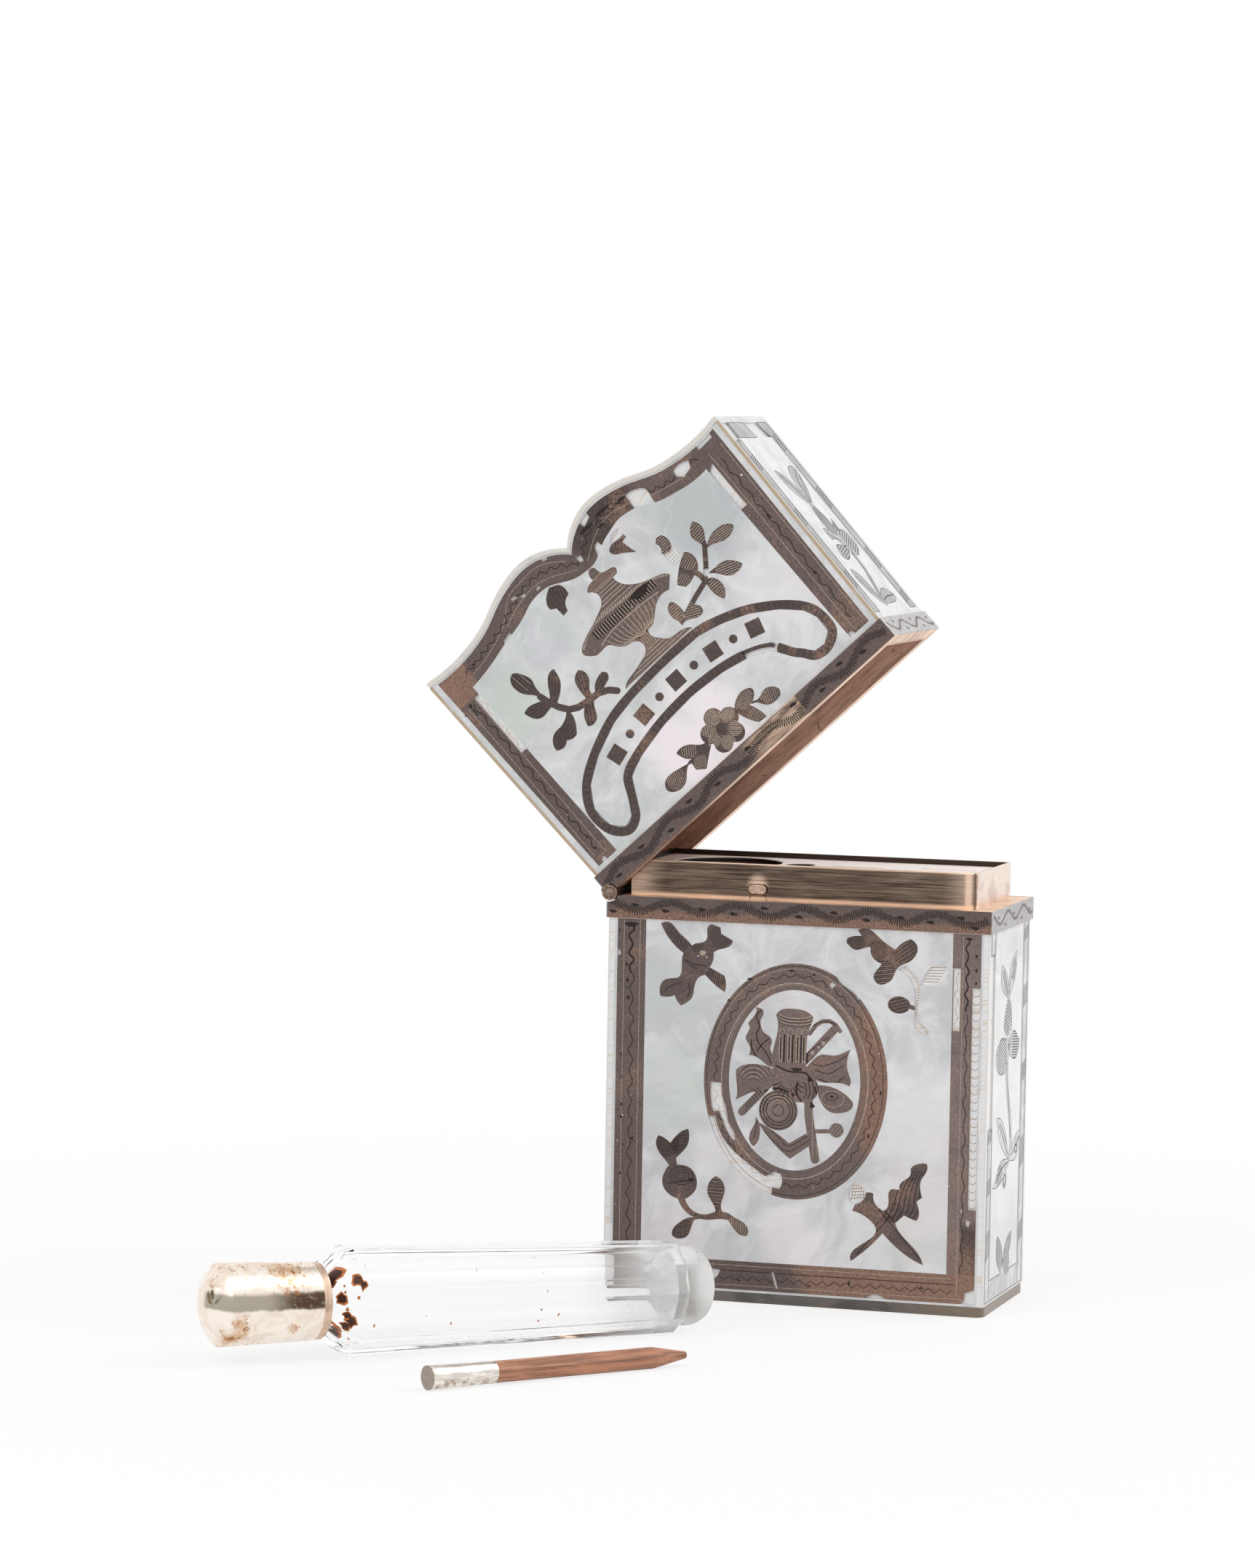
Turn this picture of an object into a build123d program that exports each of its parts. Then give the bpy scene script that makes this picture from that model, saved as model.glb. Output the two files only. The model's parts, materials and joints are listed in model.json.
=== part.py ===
"""Antique etui: a pearl-faced case with a hinged lid, a scent bottle and a small stick.

The case stands on the table with its base centred on the origin, its front facing -Y, and its
lid open to the left. Millimetres, +Z up.
"""

from build123d import *
from math import asin, atan2, cos, degrees, hypot, pi, radians, sin, tan
import os

# Case
case_width = 50.0
case_depth = 23.0
joint_height = 50.8
base_thickness = 1.3
base_corner = 1.2
plaque_thickness = 1.0
side_plaque_thickness = 0.8
carcass_side_wall = 1.4
carcass_front_wall = 1.2
carcass_floor = 1.5

# Rim bands
band_sheet = 0.3
body_band_height = 2.8
lid_band_height = 2.9
rim_thickness = 0.4

# Collar, plate and wells
collar_wall = 0.4
collar_rise = 4.4
collar_wave = 0.12
collar_wave_length = 6.0
plate_drop = 0.55
plate_thickness = 0.5
bottle_hole_x = -12.3
stick_hole_x = -2.8
stick_hole_radius = 1.9
stick_well_depth = 25.0
well_clearance = 0.2
long_slot_x = 4.5
long_slot_length = 6.8
long_slot_width = 1.0
pair_slot_x = 16.2
pair_slot_length = 7.0
pair_slot_width = 0.85
pair_slot_spacing = 3.9
slot_depth = 40.0

# Catch in the collar's front wall
catch_x = -5.9
catch_rise = 1.3
catch_width = 2.4
catch_height = 1.2
catch_proud = 0.3
catch_travel = 0.3
catch_leaf_thickness = 0.4
catch_leaf_margin = 0.7
catch_clearance = 0.06

# Lid
lid_height = 36.0
crest_rise = 3.2
lid_flare = 0.9
lid_side_thickness = 1.0
top_cover_thickness = 0.8
lining_thickness = 0.25
lining_headroom = 3.0
lid_clearance = 0.35
joint_gap = 0.15
lid_opening = 42.86
keeper_clearance = 0.3

# Hinge
axis_inset = 0.36
axis_rise = 0.33
pin_radius = 0.6
pin_clearance = 0.05
knuckle_radius = 1.0
knuckle_count = 5
knuckle_gap = 0.1
knuckle_end_inset = 0.1
solder_depth = 0.15
swing_clearance = 0.3
body_bar_height = 1.4
lid_bar_height = 1.45

# Inlays. Their outlines keep a corner where they turn by more than sharp_corner degrees.
inlay_depth = 0.25
border_margin = 0.2
ribbon_width = 1.1
sharp_corner = 50.0

# Bottle, lying on the table
bottle_x = -5.95
bottle_y = -30.95
bottle_turn = 224.0
bottle_sides = 10
bottle_body_length = 48.1
foot_length = 4.2
foot_radius = 4.9
groove_radius = 4.6
groove_length = 0.5
glass_foot_radius = 5.4
glass_shoulder_radius = 6.36
shoulder_length = 3.5
neck_base_radius = 4.25
neck_radius = 3.6
neck_length = 4.2
glass_floor = 0.9
glass_wall = 1.1
neck_bore_radius = 2.0
ring_radius = 4.58
ring_length = 1.0
cap_length = 11.8
cap_mouth_radius = 4.64
cap_crown_radius = 4.95
cap_dome = 1.9
cap_wall = 0.45
cap_neck_clearance = 0.1
boss_radius = 1.15
boss_height = 0.35
boss_side = 2.1
boss_up = 1.6
stopper_length = 4.5
stopper_clearance = 0.1

# Stick, lying on the table
stick_x = -23.4
stick_y = -83.8
stick_turn = 49.8
stick_length = 35.4
stick_radius = 1.27
stick_point_length = 4.6
stick_point_radius = 0.42
stick_sides = 12
ferrule_length = 8.9
ferrule_radius = 1.43
ferrule_mouth_radius = 1.3
ferrule_wall = 0.2

# Derived sizes
half_width = case_width / 2
ornament_scale = case_width / 50
half_depth = case_depth / 2
face_x = half_width - band_sheet
face_y = half_depth - band_sheet
carcass_x = face_x - side_plaque_thickness
carcass_y = face_y - plaque_thickness
collar_x = carcass_x - carcass_side_wall
collar_y = carcass_y - carcass_front_wall
well_x = collar_x - collar_wall
well_y = collar_y - collar_wall
rim_underside = joint_height - rim_thickness
carcass_floor_top = base_thickness + carcass_floor
collar_top = joint_height + collar_rise
plate_top = collar_top - plate_drop
plate_underside = plate_top - plate_thickness
bottle_hole_radius = glass_shoulder_radius / cos(pi / bottle_sides) + well_clearance

lid_carcass_x = face_x - lid_side_thickness
mouth_x = collar_x + lid_clearance
mouth_y = collar_y + lid_clearance
lining_x = mouth_x + lining_thickness
lining_y = mouth_y + lining_thickness
lining_height = lid_height - lining_headroom
lid_rim_top = joint_gap + rim_thickness
lid_lean = atan2(lid_flare, lid_height - lid_band_height)

hinge_x = -(half_width - axis_inset)
hinge_z = joint_height + axis_rise
seat_radius = knuckle_radius + solder_depth
cove_radius = knuckle_radius + swing_clearance
knuckle_span = case_depth - 2 * knuckle_end_inset
knuckle_length = (knuckle_span - (knuckle_count - 1) * knuckle_gap) / knuckle_count
knuckle_pitch = knuckle_length + knuckle_gap
lid_knuckle_places = [(i - (knuckle_count - 1) / 2) * knuckle_pitch for i in range(0, knuckle_count, 2)]
body_knuckle_places = [(i - (knuckle_count - 1) / 2) * knuckle_pitch for i in range(1, knuckle_count, 2)]

# The lid's own frame: its origin is the middle of the joint, turned open about the hinge.
turn_cos = cos(radians(lid_opening))
turn_sin = sin(radians(lid_opening))
lid_frame = Plane(
    origin=(
        hinge_x - hinge_x * turn_cos + axis_rise * turn_sin,
        0,
        hinge_z - hinge_x * turn_sin - axis_rise * turn_cos,
    ),
    x_dir=(turn_cos, 0, turn_sin),
    z_dir=(-turn_sin, 0, turn_cos),
)


def lid_plane(origin, x_dir, z_dir):
    """A plane given in the closed lid's own frame."""
    start = lid_frame.from_local_coords(origin)
    along = lid_frame.from_local_coords(x_dir) - lid_frame.origin
    out = lid_frame.from_local_coords(z_dir) - lid_frame.origin
    return Plane(origin=start, x_dir=along, z_dir=out)


body_front = Plane(origin=(0, -face_y, 0), x_dir=(1, 0, 0), z_dir=(0, -1, 0))
body_back = Plane(origin=(0, face_y, 0), x_dir=(-1, 0, 0), z_dir=(0, 1, 0))
body_right = Plane(origin=(face_x, 0, 0), x_dir=(0, 1, 0), z_dir=(1, 0, 0))
body_left = Plane(origin=(-face_x, 0, 0), x_dir=(0, -1, 0), z_dir=(-1, 0, 0))
lid_middle = lid_plane((0, 0, 0), (1, 0, 0), (0, -1, 0))
lid_front = lid_plane((0, -face_y, 0), (1, 0, 0), (0, -1, 0))
lid_back = lid_plane((0, face_y, 0), (-1, 0, 0), (0, 1, 0))
lean_start = face_x - tan(lid_lean) * lid_band_height
lid_right = lid_plane((lean_start, 0, 0), (0, 1, 0), (cos(lid_lean), 0, -sin(lid_lean)))
lid_left = lid_plane((-lean_start, 0, 0), (0, -1, 0), (-cos(lid_lean), 0, -sin(lid_lean)))


def lid_level(height):
    """A plane square to the lid's walls, at a height above the joint."""
    return lid_plane((0, 0, height), (1, 0, 0), (0, 0, 1))


# Ornament is drawn on a face 50 wide and 50.8 or 36 high, and stretched with the real face.
def on_body(across, up):
    return ((across / 50 - 0.5) * case_width, up / 50.8 * joint_height)


def on_lid(across, up):
    return ((across / 50 - 0.5) * case_width, up / 36 * lid_height)


def on_body_side(across, up):
    return ((across / 23 - 0.5) * case_depth, up / 50.8 * joint_height)


def on_lid_side(across, up):
    return ((across / 23 - 0.5) * case_depth, up / 36 * lid_height)


def saw_out(place, points, mode=Mode.ADD):
    """A flat shape through points on a stretched face. Sharp corners stay, and the rest is curved."""
    spots = [Vector(*place(*point)) for point in points]
    count = len(spots)
    corners = [
        i for i in range(count)
        if (spots[i] - spots[i - 1]).get_angle(spots[(i + 1) % count] - spots[i]) > sharp_corner
    ]
    with BuildLine() as outline:
        if corners:
            for start, end in zip(corners, corners[1:] + [corners[0] + count]):
                run = [spots[i % count] for i in range(start, end + 1)]
                if len(run) == 2:
                    Line(*run)
                else:
                    Spline(*run)
        else:
            Spline(*spots, periodic=True)
    make_face(outline.edges(), mode=mode)


def stroke(start, end, width):
    """A straight bar with round ends."""
    length = hypot(end[0] - start[0], end[1] - start[1])
    angle = degrees(atan2(end[1] - start[1], end[0] - start[0]))
    with Locations(((start[0] + end[0]) / 2, (start[1] + end[1]) / 2)):
        SlotCenterToCenter(length, width * ornament_scale, rotation=angle)


def stem(place, points, width):
    """A bent bar through several points on a stretched face."""
    for start, end in zip(points, points[1:]):
        stroke(place(*start), place(*end), width)


def oval(place, centre, across, up, mode=Mode.ADD):
    left, low = place(centre[0] - across, centre[1] - up)
    right, high = place(centre[0] + across, centre[1] + up)
    with Locations(((left + right) / 2, (low + high) / 2)):
        Ellipse((right - left) / 2, (high - low) / 2, mode=mode)


def box_between(place, left, bottom, right, top, mode=Mode.ADD):
    """A rectangle given by its edges on a stretched face."""
    corner_a = place(left, bottom)
    corner_b = place(right, top)
    middle = ((corner_a[0] + corner_b[0]) / 2, (corner_a[1] + corner_b[1]) / 2)
    with Locations(middle):
        Rectangle(abs(corner_b[0] - corner_a[0]), abs(corner_b[1] - corner_a[1]), mode=mode)


# Ornament of the body's front and back
def draw_body_border():
    box_between(on_body, 1.5, 1.6, 5.2, 47.9)
    box_between(on_body, 45.0, 1.6, 48.6, 47.9)
    box_between(on_body, 1.5, 1.6, 48.6, 5.2)


def draw_body_border_losses():
    place = on_body
    box_between(place, 44.9, 35.7, 46.1, 43.6)
    box_between(place, 47.4, 13.4, 48.7, 41.2)
    saw_out(place, [(1.4, 44.0), (1.9, 43.9), (2.0, 43.3), (1.4, 43.1)])
    saw_out(place, [(14.5, 4.1), (15.7, 4.0), (15.4, 3.2), (14.8, 2.7)])
    saw_out(place, [(22.3, 4.1), (22.7, 4.1), (23.3, 2.0), (22.9, 1.9)])
    saw_out(place, [(34.6, 1.5), (35.6, 2.1), (36.8, 1.9), (37.4, 1.5)])
    saw_out(place, [(48.8, 4.6), (48.4, 3.4), (47.3, 3.0), (47.2, 2.0), (46.2, 1.4), (48.8, 1.4)])
    saw_out(place, [(46.3, 13.3), (46.9, 13.6), (46.8, 12.6)])
    saw_out(place, [(47.2, 12.3), (47.9, 12.0), (47.7, 11.2), (47.2, 11.4)])


def draw_medallion():
    oval(on_body, (25.05, 28.34), 11.9, 14.86)
    oval(on_body, (24.93, 28.5), 8.53, 11.4, mode=Mode.SUBTRACT)


def draw_medallion_losses():
    """Silver lost along the lower left of the ring, with a strip left standing in it."""
    place = on_body
    saw_out(place, [
        (13.96, 27.8), (15.5, 27.75), (15.8, 25.5), (16.1, 24.6), (16.6, 22.6), (17.4, 20.8), (17.2, 20.3),
        (16.2, 21.6), (15.4, 23.4), (15.1, 24.1), (14.3, 24.0), (14.0, 25.5),
    ])
    saw_out(place, [
        (13.0, 23.5), (14.7, 23.5), (15.0, 22.4), (15.9, 20.6), (17.3, 19.1), (19.0, 17.8), (20.6, 16.7),
        (21.4, 16.2), (22.6, 16.9), (23.4, 16.6), (23.6, 15.5), (23.2, 14.6), (22.3, 14.8), (22.2, 13.0),
        (19.5, 14.4), (16.5, 16.9), (14.7, 19.4), (13.7, 21.8),
    ])
    saw_out(place, [(29.0, 40.7), (29.6, 41.2), (30.1, 40.7), (29.5, 40.2)])
    saw_out(place, [(30.0, 41.9), (31.4, 41.4), (33.3, 39.6), (33.0, 38.7), (31.9, 40.1), (30.6, 41.0)])


def draw_trophy():
    """Quiver, flame, crook, flute, cloth and shield, heaped in the medallion."""
    place = on_body
    saw_out(place, [
        (22.4, 36.6), (22.9, 37.2), (24.6, 37.5), (26.4, 37.2), (27.2, 36.6), (27.1, 36.0), (26.7, 35.0),
        (26.4, 33.0), (26.2, 30.4), (22.2, 30.0), (22.4, 33.4), (22.7, 35.4),
    ])
    saw_out(place, [
        (19.77, 37.5), (20.48, 37.32), (20.75, 36.7), (20.39, 35.89), (20.48, 35.0), (20.93, 34.29),
        (21.64, 33.84), (21.91, 33.21), (21.73, 32.59), (22.0, 31.61), (22.3, 30.1), (21.46, 30.18),
        (20.75, 30.71), (19.86, 31.25), (18.96, 31.43), (19.14, 32.14), (18.88, 32.86), (18.52, 33.39),
        (18.61, 33.93), (18.96, 34.64), (18.79, 35.36), (19.32, 36.07), (19.77, 36.7),
    ])
    stem(place, [(26.8, 34.5), (27.6, 35.6), (28.4, 36.1), (29.3, 36.2), (30.1, 35.8), (30.7, 35.0)], 0.5)
    stem(place, [(30.0, 35.2), (26.2, 31.0)], 1.0)
    saw_out(place, [
        (32.13, 32.77), (31.14, 32.23), (30.07, 31.88), (28.29, 31.88), (27.39, 31.25), (25.96, 29.64),
        (27.39, 28.93), (28.11, 28.57), (30.07, 28.48), (32.04, 28.13), (32.21, 28.6), (31.86, 29.82),
        (31.68, 30.71), (31.77, 31.79),
    ])
    saw_out(place, [
        (17.36, 29.46), (18.07, 30.0), (19.32, 30.27), (20.93, 30.18), (22.4, 29.73), (22.4, 28.21),
        (21.2, 26.96), (19.68, 26.79), (18.43, 26.25), (17.36, 25.71), (17.54, 26.79), (17.41, 28.04),
    ])
    saw_out(place, [
        (22.2, 30.3), (26.3, 30.5), (27.4, 29.2), (28.1, 27.8), (27.2, 26.0), (24.5, 25.9),
        (22.1, 27.2),
    ])
    oval(place, (22.9, 24.6), 2.5, 2.5)
    oval(place, (26.6, 27.3), 1.35, 1.35)
    saw_out(place, [
        (27.8, 28.0), (29.89, 27.86), (31.68, 26.96), (32.57, 26.07), (32.39, 25.36), (31.14, 24.73),
        (29.54, 24.82), (28.46, 25.89), (28.0, 26.96),
    ])
    stem(place, [(21.2, 27.4), (18.2, 24.2)], 1.0)
    stem(place, [(26.8, 26.2), (26.9, 24.0), (27.8, 18.7)], 1.1)
    oval(place, (30.5, 22.5), 0.9, 0.9)
    stem(place, [(27.6, 22.2), (30.4, 22.4)], 0.5)
    saw_out(place, [
        (20.3, 23.0), (21.9, 22.2), (24.4, 20.5), (26.6, 21.9), (27.2, 20.5), (24.55, 18.57),
        (22.4, 20.4),
    ])
    saw_out(place, [
        (19.95, 23.6), (20.3, 23.2), (20.57, 21.8), (20.3, 20.5), (19.77, 19.9), (19.2, 20.9),
        (19.4, 21.8),
        (19.86, 22.7),
    ])


def draw_sprays():
    """The sprays in both upper corners and in the lower left corner."""
    place = on_body
    saw_out(place, [
        (7.18, 47.5), (7.89, 46.16), (10.21, 43.84), (10.0, 42.32), (9.95, 41.43), (9.5, 40.71),
        (8.43, 40.57),
        (7.54, 40.18), (7.18, 39.46), (7.27, 38.3), (8.25, 38.25), (9.14, 38.48), (9.41, 37.86),
        (9.95, 37.23),
        (10.75, 37.68), (11.38, 38.3), (11.61, 39.29), (11.82, 40.27), (13.07, 41.25), (13.79, 40.54),
        (14.68, 39.82), (15.66, 39.2), (15.79, 40.0), (15.57, 41.25), (14.86, 41.6), (13.6, 42.23),
        (13.96, 42.86), (14.1, 44.1), (15.04, 44.59), (16.02, 44.91), (16.59, 45.71), (15.93, 46.07),
        (15.04, 46.52), (14.95, 47.32), (13.79, 47.68), (13.25, 47.05), (13.16, 45.71), (12.6, 45.3),
        (12.0, 45.2), (11.29, 44.8), (10.21, 45.9), (9.5, 46.5), (8.6, 47.5),
    ])
    saw_out(place, [
        (32.75, 47.77), (33.29, 47.05), (32.57, 47.05), (31.41, 46.7), (31.32, 46.16), (31.86, 45.63),
        (32.39, 45.32), (33.46, 45.54), (34.45, 45.71), (34.54, 44.82), (34.8, 44.38), (35.88, 43.75),
        (35.43, 43.04), (34.95, 42.32), (35.02, 41.61), (35.52, 41.16), (36.59, 41.3), (37.21, 41.79),
        (37.84, 43.13), (38.64, 43.75), (39.54, 44.2), (40.25, 45.0), (40.46, 45.71), (40.16, 46.52),
        (39.54, 46.93), (38.55, 46.43), (37.63, 45.54), (36.5, 46.21), (35.43, 47.05), (34.71, 47.68),
    ])
    oval(place, (38.23, 38.66), 1.43, 1.07)
    stem(place, [(39.4, 38.6), (40.3, 38.3)], 0.5)
    draw_bare_stem()
    draw_bare_leaf()
    saw_out(place, [
        (11.2, 21.6), (10.4, 21.3), (9.68, 20.7), (8.88, 19.7), (8.07, 20.3), (7.36, 20.6), (7.0, 19.8),
        (7.18, 18.9), (7.89, 17.9), (8.96, 16.6), (9.9, 16.6), (9.64, 17.8), (10.2, 18.4), (11.1, 19.5),
        (11.34, 20.5),
    ])
    saw_out(place, [
        (8.96, 16.9), (10.2, 17.0), (11.46, 16.7), (12.2, 15.9), (12.45, 15.0), (12.27, 13.9),
        (11.8, 13.3),
        (10.9, 12.7), (10.0, 12.7), (8.96, 13.1), (8.07, 14.1), (7.9, 15.0), (8.25, 16.1),
    ])
    saw_out(place, [
        (9.9, 13.0), (10.75, 11.4), (11.6, 10.7), (12.3, 10.45), (11.1, 10.2), (10.2, 9.6), (9.5, 8.9),
        (9.3, 8.0), (10.2, 7.6), (11.3, 8.0), (11.8, 9.1), (12.2, 10.1), (12.7, 10.25), (13.8, 10.2),
        (15.0, 10.35), (16.6, 10.35), (17.4, 9.3), (18.1, 8.65), (19.1, 8.5), (19.3, 9.1), (18.8, 10.0),
        (17.5, 10.7), (16.6, 11.2), (15.9, 11.3), (15.66, 11.9), (15.75, 12.7), (16.1, 13.9), (16.0, 14.8),
        (14.95, 15.8), (14.0, 14.8), (13.9, 13.6), (14.5, 12.5), (15.0, 11.4), (13.8, 10.9), (12.5, 11.0),
        (11.4, 11.8), (10.9, 13.0),
    ])


def draw_bare_stem():
    """The stem of the upper right spray, whose silver has fallen out."""
    saw_out(on_body, [
        (38.0, 43.1), (39.0, 43.75), (39.9, 42.9), (40.6, 42.0), (40.9, 41.1), (40.8, 40.0), (40.7, 38.9),
        (40.7, 37.5), (40.9, 36.8), (42.0, 35.7), (42.2, 35.0), (41.4, 35.2), (40.3, 35.9), (40.2, 37.5),
        (40.2, 38.9), (40.2, 40.0), (39.9, 41.25), (39.2, 42.3),
    ])


def draw_bare_leaf():
    saw_out(on_body, [
        (40.8, 41.3), (41.4, 42.5), (42.0, 43.4), (43.1, 43.85), (44.2, 43.66), (44.45, 43.0),
        (43.8, 42.0),
        (42.75, 41.25),
    ])


def draw_spray_losses():
    draw_bare_stem()
    draw_bare_leaf()


def draw_torch():
    """Crossed quiver and torch in the lower right corner, with a tuft of feathers."""
    place = on_body
    saw_out(place, [
        (32.75, 12.5), (33.2, 13.5), (34.3, 14.8), (35.43, 14.8), (35.43, 14.1), (36.75, 12.7),
        (37.4, 14.0),
        (37.4, 15.0), (37.75, 15.5), (38.8, 15.5), (39.0, 16.4), (40.16, 17.5), (40.16, 18.1),
        (40.96, 18.8),
        (42.2, 18.9), (42.2, 18.0), (41.5, 16.8), (41.4, 15.9), (41.7, 14.7), (40.96, 14.1), (41.3, 13.0),
        (41.2, 12.0), (40.96, 11.7), (40.1, 12.0), (39.45, 12.3), (38.3, 11.25), (38.5, 10.7),
        (41.05, 7.9),
        (41.6, 7.1), (41.95, 6.2), (40.8, 6.7), (40.16, 7.05), (36.7, 9.9), (33.8, 7.0), (32.7, 6.15),
        (32.6, 6.8), (33.2, 7.7), (35.6, 10.9), (34.0, 12.1),
    ])
    draw_bare_feathers()


def draw_bare_feathers():
    saw_out(on_body, [
        (32.6, 13.4), (33.5, 13.4), (34.3, 14.2), (34.5, 14.9), (33.9, 15.6), (33.0, 16.2),
        (32.4, 15.4), (32.2, 14.3),
    ])


# Ornament of the lid's front and back
def draw_under_top(drop):
    """The lid seen from the front, from its rim to its scalloped top less a drop."""
    crest = [
        (0, 0), (8.0, 0.05), (10.6, 0.28), (13.1, 0.62), (16.0, 0.9), (19.2, 1.0), (22.7, 0.69),
        (25.0, 0.12),
    ]
    left = [((u / 50 - 0.5) * case_width, lid_height + crest_rise * r - drop) for u, r in crest]
    right = [(-x, z) for x, z in reversed(left)]
    end_x = half_width + 2 * lid_flare
    with BuildLine() as outline:
        rise = Spline(*left)
        fall = Spline(*right)
        Polyline(fall @ 1, (end_x, lid_height - drop), (end_x, lid_rim_top), (-end_x, lid_rim_top),
                 (-end_x, lid_height - drop), rise @ 0)
    make_face(outline.edges())


def keep_lid_span(half, mode=Mode.INTERSECT):
    """Keeps what lies between the lid's ends, which are upright inside the rim and lean out above it."""
    top = 2 * lid_height
    reach = half + tan(lid_lean) * (top - lid_band_height)
    with BuildLine() as outline:
        Polyline((-half, -lid_height), (half, -lid_height), (half, lid_band_height), (reach, top),
                 (-reach, top), (-half, lid_band_height), close=True)
    make_face(outline.edges(), mode=mode)


def draw_lid_border():
    """A border that follows the lid's ends and its scalloped top."""
    draw_under_top(top_cover_thickness + border_margin)
    keep_lid_span(lid_carcass_x - border_margin)
    box_between(on_lid, -5, 3.75, 55, 60, mode=Mode.INTERSECT)
    saw_out(on_lid, [
        (4.6, 3.0), (3.9, 31.6), (4.9, 31.7), (8.4, 32.3), (10.9, 32.9), (13.1, 33.3), (15.0, 33.8),
        (16.6, 34.4), (18.4, 34.65), (19.9, 34.5), (21.5, 33.8), (23.25, 32.95), (24.9, 32.65),
        (26.3, 32.6),
        (28.8, 33.7), (31.1, 34.4), (32.9, 34.7), (34.0, 34.55), (35.1, 34.3), (37.75, 33.0), (40.1, 32.3),
        (41.9, 31.9), (43.6, 31.7), (45.4, 31.75), (45.4, 3.0),
    ], mode=Mode.SUBTRACT)


def draw_lid_border_losses():
    place = on_lid
    saw_out(place, [(3.0, 30.5), (4.1, 30.5), (4.2, 21.1), (3.1, 21.1)])
    saw_out(place, [(45.2, 31.0), (46.46, 31.9), (46.46, 24.9), (45.2, 24.9)])
    saw_out(place, [
        (35.2, 36.4), (37.2, 35.8), (37.8, 35.2), (37.7, 33.8), (37.75, 32.8), (36.2, 33.4),
        (35.0, 34.2),
    ])
    saw_out(place, [(41.9, 34.5), (43.2, 34.6), (44.4, 34.1), (44.0, 33.2), (42.6, 32.9), (41.8, 33.6)])
    saw_out(place, [(46.2, 35.6), (48.8, 35.6), (48.6, 34.2), (46.2, 34.1)])
    saw_out(place, [(27.3, 32.8), (28.8, 33.4), (28.7, 34.5), (27.9, 34.3)])
    saw_out(place, [(25.0, 34.9), (25.9, 34.6), (25.7, 33.8), (25.2, 33.9)])
    saw_out(place, [(18.4, 35.5), (19.3, 35.4), (19.1, 35.0), (18.5, 35.0)])
    saw_out(place, [(14.9, 36.7), (15.8, 36.6), (16.1, 36.1), (15.2, 36.2)])
    saw_out(place, [(16.2, 36.1), (17.0, 36.0), (17.1, 35.5), (16.5, 35.6)])
    saw_out(place, [(28.2, 38.0), (30.1, 38.6), (29.9, 37.4), (28.6, 36.9)])
    saw_out(place, [(21.3, 38.4), (22.6, 37.9), (22.2, 37.1), (21.5, 37.3)])
    saw_out(place, [(10.5, 32.5), (12.5, 32.9), (12.2, 33.6), (10.8, 33.3)])
    saw_out(place, [(45.2, 3.6), (46.3, 3.6), (46.1, 4.3), (45.2, 4.4)])
    saw_out(place, [(2.1, 3.6), (3.0, 3.6), (2.8, 4.5), (2.2, 4.2)])


def draw_urn():
    saw_out(on_lid, [
        (25.5, 32.5), (26.1, 32.3), (26.3, 31.4), (27.6, 30.8), (28.2, 30.5), (28.3, 30.3), (28.0, 29.8),
        (27.2, 29.7), (27.4, 28.6), (27.9, 27.9), (29.9, 26.6), (31.7, 26.0), (32.7, 25.5), (33.0, 25.0),
        (31.7, 23.7), (30.25, 23.85), (28.5, 22.9), (27.6, 22.1), (26.3, 21.8), (26.1, 20.9), (26.7, 20.0),
        (27.4, 19.3), (29.9, 18.75), (30.8, 18.15), (19.1, 18.15), (19.7, 18.6), (20.9, 18.9),
        (23.4, 19.5),
        (24.1, 19.8), (24.6, 20.7), (24.5, 21.25), (24.0, 21.8), (22.9, 22.1), (21.8, 22.9), (21.1, 23.7),
        (19.1, 23.8), (18.3, 24.3), (17.8, 25.0), (17.9, 25.4), (18.8, 26.1), (20.0, 26.6), (21.6, 27.1),
        (22.5, 27.5), (23.6, 28.0), (24.2, 28.75), (24.3, 29.3), (24.0, 30.0), (23.4, 30.4), (23.5, 30.6),
        (24.1, 31.0), (25.0, 31.1), (25.0, 31.9),
    ])


def draw_banner():
    """A closed ribbon, narrow all round, whose field stays pearl."""
    stem(on_lid, [
        (5.6, 6.4), (5.3, 9.6), (7.1, 12.5), (10.5, 14.7), (15.1, 16.5), (19.2, 17.15), (24.9, 17.45),
        (30.8, 17.35), (34.2, 16.5), (37.7, 15.1), (41.1, 12.9), (43.5, 10.6), (44.4, 8.6), (44.3, 6.0),
        (42.5, 4.8), (40.6, 5.0), (39.5, 6.3), (38.6, 7.3), (37.0, 9.6), (34.1, 11.0), (30.2, 11.9),
        (25.2, 12.3), (19.9, 12.0), (14.9, 11.0), (12.0, 9.8), (10.6, 7.3), (9.3, 5.2), (7.4, 4.6),
        (5.6, 6.4),
    ], ribbon_width)


def draw_banner_losses():
    saw_out(on_lid, [
        (33.2, 11.2), (34.3, 11.3), (35.6, 10.8), (37.3, 9.7), (37.6, 8.4), (36.9, 8.8), (35.9, 9.6),
        (34.5, 10.2),
    ])


def draw_motifs():
    """A plain row of lozenges and dots along the ribbon."""
    count = 9
    for i in range(count):
        share = (i + 0.5) / count
        across = 11.2 + share * (38.4 - 11.2)
        up = 14.6 - 3.7 * ((across - 24.9) / 17.0) ** 2
        if i % 2:
            oval(on_lid, (across, up), 0.55, 0.55)
        else:
            with Locations(on_lid(across, up)):
                RegularPolygon(1.45 * ornament_scale, 4, rotation=45 - (across - 24.9) * 1.4)


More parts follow.
